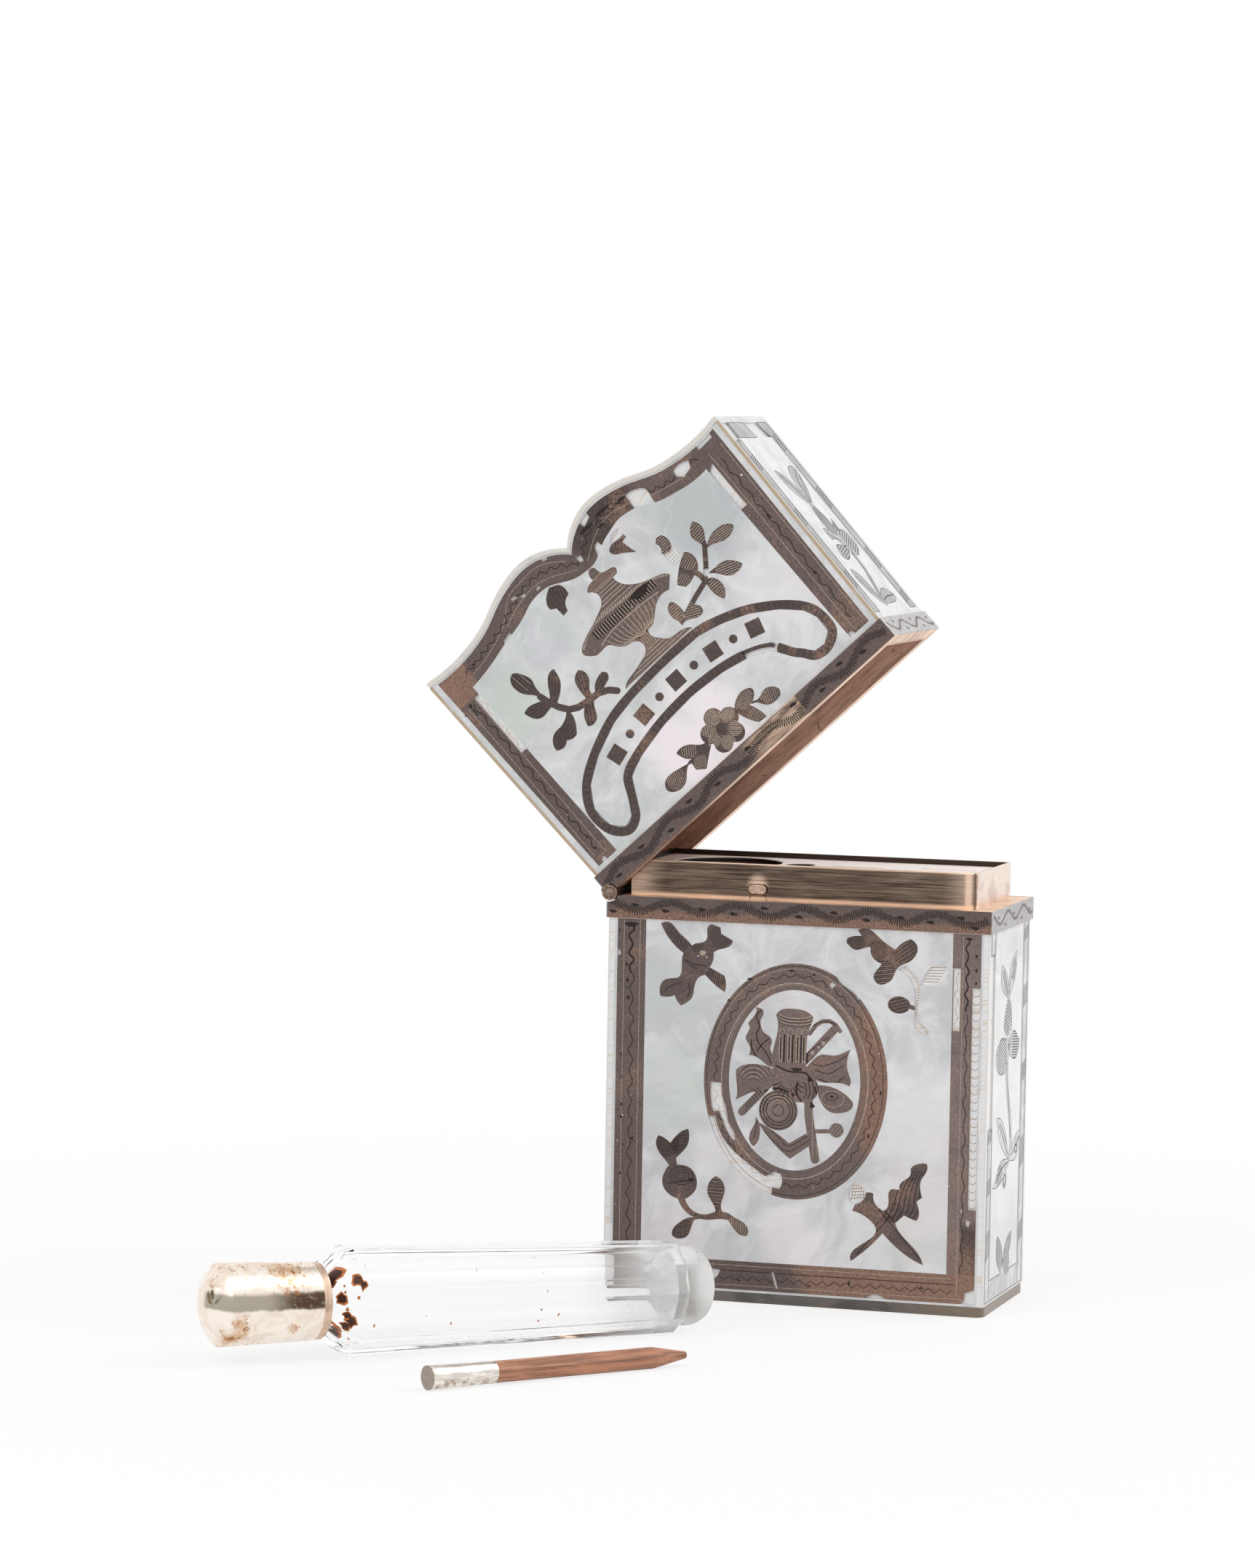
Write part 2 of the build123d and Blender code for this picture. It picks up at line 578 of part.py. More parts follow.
def draw_sprigs():
    """The sprigs on both sides of the urn, and the leaves that hang from the border."""
    place = on_lid
    stem(place, [
        (9.9, 24.8), (10.3, 23.5), (10.9, 22.2), (11.7, 21.1), (12.8, 20.5), (14.5, 20.2), (16.0, 20.1),
        (17.3, 19.5), (18.1, 18.7),
    ], 0.85)
    for leaf in (
        [(9.05, 29.4), (8.25, 28.9), (8.0, 27.9), (8.2, 27.0), (8.8, 26.1), (9.6, 25.2), (9.7, 24.5),
         (10.1, 24.8), (10.2, 25.9), (10.45, 27.3), (10.1, 28.2), (9.5, 29.1)],
        [(13.6, 26.25), (12.7, 26.2), (11.8, 25.4), (11.1, 24.3), (10.5, 23.6), (11.0, 22.7), (12.4, 23.6),
         (13.25, 24.6), (13.5, 25.5)],
        [(6.9, 24.6), (8.1, 24.8), (9.1, 24.5), (9.9, 24.1), (10.5, 22.8), (9.7, 22.8), (8.25, 22.7),
         (7.5, 23.2), (7.1, 23.9)],
        [(11.4, 21.3), (10.2, 20.4), (9.5, 20.2), (8.25, 20.1), (7.4, 19.5), (7.0, 18.3), (7.9, 17.95),
         (8.9, 18.4), (9.4, 18.1), (10.4, 18.1), (10.8, 18.6), (11.6, 20.6)],
        [(13.6, 20.1), (12.4, 18.6), (12.2, 17.9), (13.1, 17.6), (13.8, 17.9), (14.3, 18.75), (15.2, 19.9)],
        [(14.3, 20.3), (14.4, 22.0), (14.7, 23.2), (15.9, 24.0), (16.4, 23.4), (16.3, 22.3), (15.4, 21.1),
         (15.4, 20.2)],
        [(15.7, 20.2), (16.3, 21.1), (17.2, 21.6), (18.2, 21.8), (18.6, 21.3), (18.1, 20.5), (17.2, 20.2),
         (16.6, 19.9)],
        [(20.0, 34.3), (19.3, 33.9), (18.4, 33.0), (18.3, 32.1), (19.0, 31.7), (19.1, 30.4), (19.9, 30.5),
         (20.6, 31.7), (21.4, 32.0), (21.5, 32.9), (21.2, 33.7), (20.9, 33.9)],
        [(29.0, 32.4), (30.1, 32.9), (30.9, 32.8), (31.8, 32.9), (31.9, 32.4), (31.1, 32.2), (31.3, 31.25),
         (31.6, 30.1), (30.8, 30.7), (30.1, 31.2), (29.4, 31.6)],
        [(34.7, 29.6), (35.4, 29.5), (35.8, 28.6), (35.5, 27.5), (34.9, 27.0), (34.0, 27.7), (34.4, 28.6),
         (34.2, 29.1)],
        [(32.9, 23.4), (33.6, 24.1), (34.7, 25.0), (36.3, 25.9), (36.9, 25.0), (36.8, 23.9), (36.1, 23.0),
         (36.3, 22.3), (36.2, 21.2), (35.4, 20.9), (35.6, 22.2), (35.4, 22.9), (34.6, 22.6), (33.6, 22.5)],
        [(39.7, 28.0), (38.8, 27.5), (38.3, 26.6), (38.5, 25.7), (38.6, 24.6), (39.2, 24.6), (39.5, 25.4),
         (40.1, 26.4), (40.1, 27.3)],
        [(38.8, 24.3), (40.1, 25.1), (41.5, 25.3), (42.6, 25.0), (43.4, 24.2), (42.75, 23.7), (41.5, 23.5),
         (40.4, 23.9)],
        [(36.6, 21.9), (38.3, 21.8), (39.5, 21.6), (40.4, 20.9), (41.05, 19.8), (40.1, 19.5), (38.8, 19.8),
         (38.1, 20.6)],
        [(35.9, 21.4), (36.9, 21.1), (37.4, 20.0), (37.1, 18.75), (36.4, 18.1), (35.9, 19.1), (35.8, 20.2)],
        [(30.8, 22.4), (30.0, 22.0), (29.7, 21.1), (30.0, 20.0), (31.3, 19.9), (31.3, 21.25), (31.1, 22.0)],
        [(30.0, 20.2), (30.0, 19.2), (31.1, 19.2), (32.4, 18.6), (33.3, 18.8), (33.4, 19.3), (32.75, 20.2),
         (31.5, 20.2)],
    ):
        saw_out(place, leaf)
    stem(place, [(31.6, 20.0), (33.6, 20.7), (35.8, 21.3), (37.2, 22.6), (38.9, 24.8)], 0.65)
    draw_bare_bud()
    draw_bare_tip()


def draw_bare_bud():
    """The lower half of the bud, whose silver has fallen out."""
    saw_out(on_lid, [
        (34.9, 27.3), (35.5, 27.7), (35.6, 26.6), (35.0, 25.4), (34.3, 25.2), (34.0, 26.3),
        (34.1, 27.6),
    ])


def draw_bare_tip():
    saw_out(on_lid, [(29.8, 33.0), (30.9, 33.0), (31.6, 33.1), (31.9, 33.9), (31.3, 34.0), (30.4, 33.8)])


def draw_sprig_losses():
    draw_bare_bud()
    draw_bare_tip()
    oval(on_lid, (36.75, 22.1), 0.55, 0.5)


def draw_spray():
    """A rosette between leaves at the foot of the lid."""
    place = on_lid
    centre_across, centre_up = 25.3, 6.1
    oval(place, (centre_across, centre_up), 1.6, 1.6)
    for i in range(5):
        angle = radians(90 + 72 * i)
        petal = (centre_across + 1.75 * cos(angle), centre_up + 1.75 * sin(angle))
        oval(place, petal, 1.25, 1.25)
    for leaf in (
        [(14.8, 5.5), (15.4, 6.1), (16.3, 6.25), (17.4, 6.1), (18.8, 5.8), (19.6, 5.6), (18.4, 5.3),
         (17.7, 4.6), (17.0, 4.1), (16.1, 4.0), (15.0, 4.5), (14.7, 5.0)],
        [(18.7, 7.7), (19.9, 7.8), (20.75, 7.4), (21.5, 6.7), (22.9, 6.3), (22.7, 5.7), (20.2, 5.9),
         (19.5, 6.1), (18.9, 7.0)],
        [(19.4, 5.5), (20.2, 5.6), (22.9, 5.6), (21.8, 4.8), (20.4, 3.7), (19.3, 4.5)],
        [(28.0, 6.7), (29.2, 7.7), (30.25, 7.95), (31.5, 7.5), (31.6, 7.1), (30.8, 6.25), (29.4, 6.0),
         (28.2, 6.15)],
        [(28.1, 6.4), (29.9, 6.1), (30.6, 4.3), (30.7, 3.5), (29.5, 3.6), (28.8, 4.6), (28.3, 5.7)],
        [(30.4, 6.4), (31.7, 5.9), (32.75, 6.2), (33.6, 5.9), (34.2, 5.0), (33.7, 4.3), (32.75, 4.2),
         (31.7, 4.55), (31.1, 5.4), (30.25, 5.9)],
    ):
        saw_out(place, leaf)
    stem(place, [(22.8, 5.9), (19.2, 5.7)], 0.4)


# Ornament of the narrow sides
def draw_body_side():
    """A plant with paired leaves between three borders."""
    place = on_body_side
    box_between(place, 1.0, 1.6, 3.5, 47.9)
    box_between(place, 18.9, 1.6, 21.9, 47.9)
    box_between(place, 1.0, 1.6, 21.9, 4.2)
    stem(place, [
        (11.0, 31.5), (11.0, 29.0), (11.8, 26.8), (12.8, 24.5), (13.6, 22.5), (14.1, 20.3),
        (13.6, 18.6),
    ], 1.1)
    for leaf in (
        [(11.1, 38.5), (10.0, 39.3), (8.6, 39.8), (7.4, 40.6), (6.8, 41.7), (6.8, 42.9), (7.2, 43.5),
         (8.7, 42.9), (10.0, 42.0), (11.0, 40.6)],
        [(10.9, 38.5), (11.1, 41.0), (11.7, 42.6), (12.8, 43.7), (14.3, 44.2), (15.3, 44.7), (15.4, 43.4),
         (14.9, 41.8), (13.8, 40.6), (12.5, 39.7)],
        [(11.0, 39.0), (10.0, 38.0), (9.2, 36.6), (8.8, 35.5), (9.7, 34.7), (11.0, 33.4), (12.3, 33.6),
         (13.2, 34.6), (13.2, 36.0), (12.8, 37.4), (12.0, 38.6)],
        [(10.9, 33.6), (9.5, 34.0), (7.9, 34.2), (6.1, 33.5), (4.9, 32.4), (4.9, 31.0), (6.1, 30.1),
         (7.9, 29.6), (10.0, 29.8), (11.5, 31.1), (12.4, 32.8)],
        [(11.9, 32.6), (13.0, 33.8), (14.3, 34.5), (15.5, 34.3), (16.8, 33.5), (17.9, 32.9), (17.2, 31.8),
         (15.6, 30.9), (13.9, 31.1), (12.4, 31.8)],
        [(13.4, 18.2), (11.5, 19.0), (9.5, 20.0), (7.6, 21.5), (6.5, 23.0), (6.1, 24.2), (7.9, 24.1),
         (9.8, 23.0), (11.3, 21.3), (12.4, 19.6)],
        [(13.6, 18.4), (11.8, 18.5), (9.5, 18.6), (7.6, 18.0), (6.1, 16.7), (4.4, 15.7), (6.6, 15.5),
         (8.6, 15.8), (9.6, 16.2), (10.0, 17.0), (11.0, 17.2), (12.4, 17.5)],
        [(13.4, 18.2), (14.8, 19.7), (16.5, 20.8), (19.2, 21.3), (19.2, 20.5), (18.3, 19.9), (17.9, 18.6),
         (16.6, 17.9), (14.8, 17.9)],
        [(10.3, 3.9), (8.8, 4.9), (7.4, 6.2), (7.1, 7.9), (7.6, 9.2), (9.3, 8.3), (10.5, 6.7), (10.8, 5.2)],
        [(10.4, 4.0), (11.0, 6.0), (12.2, 7.5), (13.6, 8.4), (15.5, 8.8), (15.1, 7.4), (14.2, 6.4),
         (14.6, 5.0), (13.2, 3.9)],
    ):
        saw_out(place, leaf)
    oval(place, (10.9, 16.1), 1.15, 1.2)


def draw_body_side_losses():
    place = on_body_side
    box_between(place, 0.9, 23.2, 3.6, 45.2)
    saw_out(place, [(12.2, 41.5), (13.0, 42.9), (14.6, 43.8), (14.4, 42.4), (13.6, 41.6)])


def draw_lid_side():
    """A plant with a flower between two upright borders and one along the top."""
    place = on_lid_side
    box_between(place, 1.0, 4.1, 3.4, 34.9)
    box_between(place, 18.9, 4.1, 21.9, 34.9)
    box_between(place, 1.0, 32.4, 21.9, 34.9)
    stem(place, [(9.0, 5.4), (10.2, 7.7), (11.9, 10.0), (12.6, 12.0), (12.4, 14.4)], 1.1)
    for leaf in (
        [(8.6, 5.9), (10.8, 6.9), (12.7, 7.5), (15.0, 7.1), (16.2, 6.3), (14.8, 5.4), (12.5, 5.2),
         (10.2, 5.2)],
        [(8.9, 5.2), (7.5, 5.5), (5.7, 7.3), (4.8, 9.0), (5.0, 10.5), (5.8, 10.9), (7.1, 10.3), (8.2, 8.9),
         (8.6, 7.1)],
        [(12.4, 14.2), (9.2, 14.8), (7.8, 14.6), (6.7, 13.6), (6.5, 12.9), (7.8, 12.4), (9.5, 12.6),
         (11.2, 13.4)],
        [(11.9, 15.0), (9.9, 15.7), (8.2, 15.6), (7.9, 16.6), (8.0, 17.3), (9.4, 17.3), (10.8, 16.2)],
        [(12.1, 14.0), (10.5, 15.6), (9.9, 17.0), (10.0, 19.0), (10.6, 20.5), (11.7, 22.1), (13.1, 20.2),
         (13.8, 18.6), (13.5, 17.0), (12.9, 15.2)],
        [(13.2, 16.0), (14.6, 16.9), (16.2, 17.1), (17.9, 16.0), (17.7, 14.6), (16.4, 13.6), (14.5, 12.9),
         (12.6, 13.6), (12.4, 14.9)],
        [(13.2, 17.2), (14.5, 18.2), (15.6, 18.9), (15.6, 17.9), (14.6, 16.6)],
        [(11.6, 21.2), (9.4, 22.5), (7.7, 24.2), (7.2, 25.9), (7.4, 27.0), (8.8, 26.6), (10.6, 25.4),
         (11.4, 23.9), (11.9, 22.3)],
        [(11.6, 21.2), (11.8, 23.8), (12.7, 25.6), (14.2, 27.0), (16.0, 27.6), (17.9, 27.3), (17.1, 25.4),
         (15.6, 23.6), (13.7, 22.2)],
    ):
        saw_out(place, leaf)


def draw_lid_side_losses():
    place = on_lid_side
    box_between(place, 0.9, 31.9, 3.9, 35.0)
    saw_out(place, [(12.0, 32.3), (18.9, 32.3), (18.0, 33.6), (17.4, 35.0), (10.8, 35.0), (11.4, 33.6)])


def write(part, name):
    part.label = name
    export_step(part, f"parts/{name}.step")


os.makedirs("parts", exist_ok=True)

# Base plate and wooden body
with BuildPart() as base_plate:
    Box(2 * face_x, 2 * face_y, base_thickness, align=(Align.CENTER, Align.CENTER, Align.MIN))
    fillet(base_plate.edges().filter_by(Axis.Z), base_corner)
write(base_plate.part, "base_plate")

# Coves round the hinge, cut from everything that the knuckles turn in
with BuildPart() as body_cove:
    with BuildSketch(Plane(origin=(hinge_x, half_depth, hinge_z), z_dir=(0, -1, 0))):
        Circle(seat_radius)
    extrude(amount=case_depth)
    for place in lid_knuckle_places:
        with BuildSketch(Plane(origin=(hinge_x, place + knuckle_pitch / 2, hinge_z), z_dir=(0, -1, 0))):
            Circle(cove_radius)
        extrude(amount=knuckle_pitch)

with BuildPart() as lid_cove:
    with BuildSketch(lid_plane((hinge_x, half_depth, axis_rise), (1, 0, 0), (0, -1, 0))):
        Circle(seat_radius)
    extrude(amount=case_depth)
    for place in body_knuckle_places:
        with BuildSketch(lid_plane((hinge_x, place + knuckle_pitch / 2, axis_rise), (1, 0, 0), (0, -1, 0))):
            Circle(cove_radius)
        extrude(amount=knuckle_pitch)

with BuildPart() as body_carcass:
    with BuildSketch(Plane.XY.offset(base_thickness)):
        Rectangle(2 * carcass_x, 2 * carcass_y)
    extrude(amount=rim_underside - base_thickness)
    with BuildSketch(Plane.XY.offset(carcass_floor_top)):
        Rectangle(2 * collar_x, 2 * collar_y)
    extrude(amount=joint_height, mode=Mode.SUBTRACT)
    add(body_cove.part, mode=Mode.SUBTRACT)
write(body_carcass.part, "body_carcass")

# Silver ornament of the body, drawn once and used for the inlays and for their pockets
with BuildSketch(body_front) as front_border_pocket:
    draw_body_border()
with BuildSketch(body_front) as front_border_loss:
    draw_body_border_losses()
with BuildSketch(body_front) as front_medallion_pocket:
    draw_medallion()
with BuildSketch(body_front) as front_medallion_loss:
    draw_medallion_losses()
with BuildSketch(body_front) as front_trophy_pocket:
    draw_trophy()
with BuildSketch(body_front) as front_sprays_pocket:
    draw_sprays()
with BuildSketch(body_front) as front_sprays_loss:
    draw_spray_losses()
with BuildSketch(body_front) as front_torch_pocket:
    draw_torch()
with BuildSketch(body_front) as front_torch_loss:
    draw_bare_feathers()
with BuildSketch(body_back) as back_border_pocket:
    draw_body_border()
with BuildSketch(body_back) as back_medallion_pocket:
    draw_medallion()
with BuildSketch(body_back) as back_sprays_pocket:
    draw_sprays()
    draw_torch()
with BuildSketch(body_right) as right_pocket:
    draw_body_side()
with BuildSketch(body_right) as right_loss:
    draw_body_side_losses()
with BuildSketch(body_left) as left_pocket:
    draw_body_side()


def write_inlay(name, pocket, loss=None):
    """A flush silver inlay, less what has fallen out of its pocket."""
    with BuildPart() as inlay:
        extrude(pocket.sketch, amount=-inlay_depth)
        if loss is not None:
            extrude(loss.sketch, amount=-inlay_depth, mode=Mode.SUBTRACT)
    write(inlay.part, name)


write_inlay("body_front_border", front_border_pocket, front_border_loss)
write_inlay("body_front_medallion", front_medallion_pocket, front_medallion_loss)
write_inlay("body_front_trophy", front_trophy_pocket)
write_inlay("body_front_sprays", front_sprays_pocket, front_sprays_loss)
write_inlay("body_front_torch", front_torch_pocket, front_torch_loss)
write_inlay("body_back_border", back_border_pocket)
write_inlay("body_back_medallion", back_medallion_pocket)
write_inlay("body_back_sprays", back_sprays_pocket)
write_inlay("body_right_inlay", right_pocket, right_loss)
write_inlay("body_left_inlay", left_pocket)


def write_wide_plaque(name, face, pockets):
    """A front or back plaque of the body, between the side plaques and up to the rim."""
    with BuildPart() as plaque:
        with BuildSketch(face):
            with Locations((0, (base_thickness + rim_underside) / 2)):
                Rectangle(2 * carcass_x, rim_underside - base_thickness)
        extrude(amount=-plaque_thickness)
        for pocket in pockets:
            extrude(pocket.sketch, amount=-inlay_depth, mode=Mode.SUBTRACT)
        add(body_cove.part, mode=Mode.SUBTRACT)
    write(plaque.part, name)


def write_narrow_plaque(name, face, top, pocket):
    """A side plaque of the body, over the whole depth of the case."""
    with BuildPart() as plaque:
        with BuildSketch(face):
            with Locations((0, (base_thickness + top) / 2)):
                Rectangle(2 * face_y, top - base_thickness)
        extrude(amount=-side_plaque_thickness)
        extrude(pocket.sketch, amount=-inlay_depth, mode=Mode.SUBTRACT)
    write(plaque.part, name)


write_wide_plaque("body_plaque_front", body_front, [
    front_border_pocket, front_medallion_pocket, front_trophy_pocket, front_sprays_pocket,
    front_torch_pocket,
])
write_wide_plaque("body_plaque_back", body_back, [
    back_border_pocket, back_medallion_pocket, back_sprays_pocket,
])
write_narrow_plaque("body_plaque_right", body_right, rim_underside, right_pocket)
write_narrow_plaque("body_plaque_left", body_left, rim_underside - body_bar_height, left_pocket)

# Rim of the body: an engraved skirt with a flat ledge inside it
with BuildPart() as body_band:
    with BuildSketch(Plane.XY.offset(joint_height - body_band_height)):
        Rectangle(case_width, case_depth)
        Rectangle(2 * face_x, 2 * face_y, mode=Mode.SUBTRACT)
    extrude(amount=body_band_height)
    with BuildSketch(Plane.XY.offset(rim_underside)):
        Rectangle(2 * face_x, 2 * face_y)
        Rectangle(2 * collar_x, 2 * collar_y, mode=Mode.SUBTRACT)
    extrude(amount=rim_thickness)
    add(body_cove.part, mode=Mode.SUBTRACT)
write(body_band.part, "body_band")

# Hinge
with BuildPart() as body_hinge_bar:
    with Locations((-face_x, 0, rim_underside)):
        Box(side_plaque_thickness, 2 * face_y, body_bar_height, align=(Align.MIN, Align.CENTER, Align.MAX))
    add(body_cove.part, mode=Mode.SUBTRACT)
write(body_hinge_bar.part, "body_hinge_bar")

foot_start = knuckle_radius - solder_depth
with BuildPart() as body_knuckles:
    for place in body_knuckle_places:
        with BuildSketch(Plane(origin=(hinge_x, place + knuckle_length / 2, hinge_z), z_dir=(0, -1, 0))):
            Circle(seat_radius)
            with Locations((0, -foot_start)):
                Rectangle(2 * seat_radius, seat_radius, align=(Align.CENTER, Align.MAX), mode=Mode.INTERSECT)
            Circle(knuckle_radius)
            Circle(pin_radius, mode=Mode.SUBTRACT)
        extrude(amount=knuckle_length)
write(body_knuckles.part, "body_knuckles")

with BuildPart() as hinge_pin:
    with BuildSketch(Plane(origin=(hinge_x, knuckle_span / 2, hinge_z), z_dir=(0, -1, 0))):
        Circle(pin_radius)
    extrude(amount=knuckle_span)
write(hinge_pin.part, "hinge_pin")

with BuildPart() as lid_knuckles:
    for place in lid_knuckle_places:
        with BuildSketch(lid_plane((hinge_x, place + knuckle_length / 2, axis_rise), (1, 0, 0), (0, -1, 0))):
            Circle(seat_radius)
            with Locations((0, foot_start)):
                Rectangle(2 * seat_radius, seat_radius, align=(Align.CENTER, Align.MIN), mode=Mode.INTERSECT)
            Circle(knuckle_radius)
            Circle(pin_radius + pin_clearance, mode=Mode.SUBTRACT)
        extrude(amount=knuckle_length)
write(lid_knuckles.part, "lid_knuckles")

with BuildPart() as lid_hinge_bar:
    with BuildSketch(lid_level(lid_rim_top)):
        with Locations((-face_x, 0)):
            Rectangle(lid_side_thickness, 2 * face_y, align=(Align.MIN, Align.CENTER))
    extrude(amount=lid_bar_height)
    add(lid_cove.part, mode=Mode.SUBTRACT)
write(lid_hinge_bar.part, "lid_hinge_bar")

# Catch, a nub on a small leaf that springs out through the collar
catch_z = joint_height + catch_rise
leaf_width = catch_width + 2 * catch_leaf_margin
leaf_height = catch_height + 2 * catch_leaf_margin
catch_outward = Plane(origin=(catch_x, -well_y, catch_z), x_dir=(1, 0, 0), z_dir=(0, -1, 0))
with BuildPart() as catch:
    with BuildSketch(catch_outward):
        Rectangle(leaf_width, leaf_height)
    extrude(amount=-catch_leaf_thickness)
    with BuildSketch(catch_outward):
        SlotOverall(catch_width, catch_height)
    extrude(amount=collar_wall + catch_proud)
    fillet(catch.faces().sort_by(Axis.Y)[0].edges(), catch_proud / 2)
write(catch.part, "catch")

# Collar with its worn, wavy edge
points_per_wave = 4
wave_points = round(points_per_wave * case_width / collar_wave_length)
with BuildPart() as collar:
    with BuildSketch(Plane.XY.offset(carcass_floor_top)):
        Rectangle(2 * collar_x, 2 * collar_y)
        Rectangle(2 * well_x, 2 * well_y, mode=Mode.SUBTRACT)
    extrude(amount=collar_top + collar_wave - carcass_floor_top)
    with BuildSketch(Plane(origin=(0, half_depth, 0), z_dir=(0, -1, 0))):
        with BuildLine():
            wave = []
            for i in range(wave_points):
                across = -half_width + case_width * i / (wave_points - 1)
                wave.append((across, collar_top + collar_wave * sin(2 * pi * across / collar_wave_length)))
            crest = Spline(*wave)
            Polyline(crest @ 1, (half_width, collar_top + half_depth),
                     (-half_width, collar_top + half_depth),
                     crest @ 0)
        make_face()
    extrude(amount=case_depth, mode=Mode.SUBTRACT)
    with BuildSketch(catch_outward):
        SlotOverall(catch_width + 2 * catch_clearance, catch_height + 2 * catch_clearance)
    extrude(amount=collar_wall, mode=Mode.SUBTRACT)
write(collar.part, "collar")

# Fitted plate and the block with the wells under it
with BuildSketch(Plane.XY.offset(plate_top)) as slot_holes:
    with Locations((long_slot_x, 0)):
        SlotOverall(long_slot_length, long_slot_width)
    with Locations((pair_slot_x, -pair_slot_spacing / 2), (pair_slot_x, pair_slot_spacing / 2)):
        SlotOverall(pair_slot_length, pair_slot_width)
with BuildSketch(Plane.XY.offset(plate_top)) as stick_hole:
    with Locations((stick_hole_x, 0)):
        Circle(stick_hole_radius)
with BuildSketch(Plane.XY.offset(plate_top)) as bottle_hole:
    with Locations((bottle_hole_x, 0)):
        Circle(bottle_hole_radius)

pocket_width = leaf_width + 2 * catch_clearance
pocket_height = leaf_height + 2 * catch_clearance
pocket_depth = catch_leaf_thickness + catch_travel + catch_clearance
with BuildPart() as fitted_plate:
    with BuildSketch(Plane.XY.offset(plate_underside)):
        Rectangle(2 * well_x, 2 * well_y)
    extrude(amount=plate_thickness)
    for hole in (slot_holes, stick_hole, bottle_hole):
        extrude(hole.sketch, amount=-plate_thickness, mode=Mode.SUBTRACT)
write(fitted_plate.part, "fitted_plate")

with BuildPart() as insert_block:
    with BuildSketch(Plane.XY.offset(carcass_floor_top)):
        Rectangle(2 * well_x, 2 * well_y)
    extrude(amount=plate_underside - carcass_floor_top)
    extrude(bottle_hole.sketch, amount=carcass_floor_top - plate_top, mode=Mode.SUBTRACT)
    extrude(stick_hole.sketch, amount=-stick_well_depth, mode=Mode.SUBTRACT)
    extrude(slot_holes.sketch, amount=-slot_depth, mode=Mode.SUBTRACT)
    with BuildSketch(catch_outward):
        Rectangle(pocket_width, pocket_height)
    extrude(amount=-pocket_depth, mode=Mode.SUBTRACT)
write(insert_block.part, "insert_block")

# Lid: rim band, lining and wooden body
with BuildPart() as lid_band:
    with BuildSketch(lid_level(joint_gap)):
        Rectangle(case_width, case_depth)
        Rectangle(2 * face_x, 2 * face_y, mode=Mode.SUBTRACT)
    extrude(amount=lid_band_height)
    with BuildSketch(lid_level(joint_gap)):
        Rectangle(2 * face_x, 2 * face_y)
        Rectangle(2 * lining_x, 2 * lining_y, mode=Mode.SUBTRACT)
    extrude(amount=rim_thickness)
    add(lid_cove.part, mode=Mode.SUBTRACT)
write(lid_band.part, "lid_band")

with BuildPart() as lid_lining:
    with BuildSketch(lid_level(joint_gap)):
        Rectangle(2 * lining_x, 2 * lining_y)
    extrude(amount=lining_height - joint_gap)
    with BuildSketch(lid_level(joint_gap)):
        Rectangle(2 * mouth_x, 2 * mouth_y)
    extrude(amount=lining_height - joint_gap - lining_thickness, mode=Mode.SUBTRACT)
    with BuildSketch(lid_plane((catch_x, -mouth_y, catch_rise), (1, 0, 0), (0, -1, 0))):
        SlotOverall(catch_width + 2 * keeper_clearance, catch_height + 2 * keeper_clearance)
    extrude(amount=lining_thickness, mode=Mode.SUBTRACT)
write(lid_lining.part, "lid_lining")

# Wooden box and scalloped cover of the lid
with BuildPart() as lid_carcass:
    with BuildSketch(lid_middle):
        draw_under_top(top_cover_thickness)
        keep_lid_span(lid_carcass_x)
    extrude(amount=carcass_y, both=True)
    with BuildSketch(lid_level(lid_rim_top)):
        Rectangle(2 * lining_x, 2 * lining_y)
    extrude(amount=lining_height - lid_rim_top, mode=Mode.SUBTRACT)
    add(lid_cove.part, mode=Mode.SUBTRACT)
write(lid_carcass.part, "lid_carcass")

with BuildPart() as lid_top_cover:
    with BuildSketch(lid_middle):
        draw_under_top(0)
        keep_lid_span(face_x)
    extrude(amount=face_y, both=True)
    with BuildSketch(lid_middle):
        draw_under_top(top_cover_thickness)
    extrude(amount=face_y, both=True, mode=Mode.SUBTRACT)
write(lid_top_cover.part, "lid_top_cover")

# Silver ornament of the lid
with BuildSketch(lid_front) as lid_border_pocket:
    draw_lid_border()
with BuildSketch(lid_front) as lid_border_loss:
    draw_lid_border_losses()
with BuildSketch(lid_front) as lid_urn_pocket:
    draw_urn()
with BuildSketch(lid_front) as lid_sprigs_pocket:
    draw_sprigs()
with BuildSketch(lid_front) as lid_sprigs_loss:
    draw_sprig_losses()
with BuildSketch(lid_front) as lid_banner_pocket:
    draw_banner()
with BuildSketch(lid_front) as lid_banner_loss:
    draw_banner_losses()
with BuildSketch(lid_front) as lid_motifs_pocket:
    draw_motifs()
with BuildSketch(lid_front) as lid_spray_pocket:
    draw_spray()
with BuildSketch(lid_back) as lid_back_border_pocket:
    draw_lid_border()
with BuildSketch(lid_back) as lid_back_urn_pocket:
    draw_urn()
with BuildSketch(lid_back) as lid_back_sprigs_pocket:
    draw_sprigs()
with BuildSketch(lid_right) as lid_right_pocket:
    draw_lid_side()
with BuildSketch(lid_right) as lid_right_loss:
    draw_lid_side_losses()
with BuildSketch(lid_left) as lid_left_pocket:
    draw_lid_side()

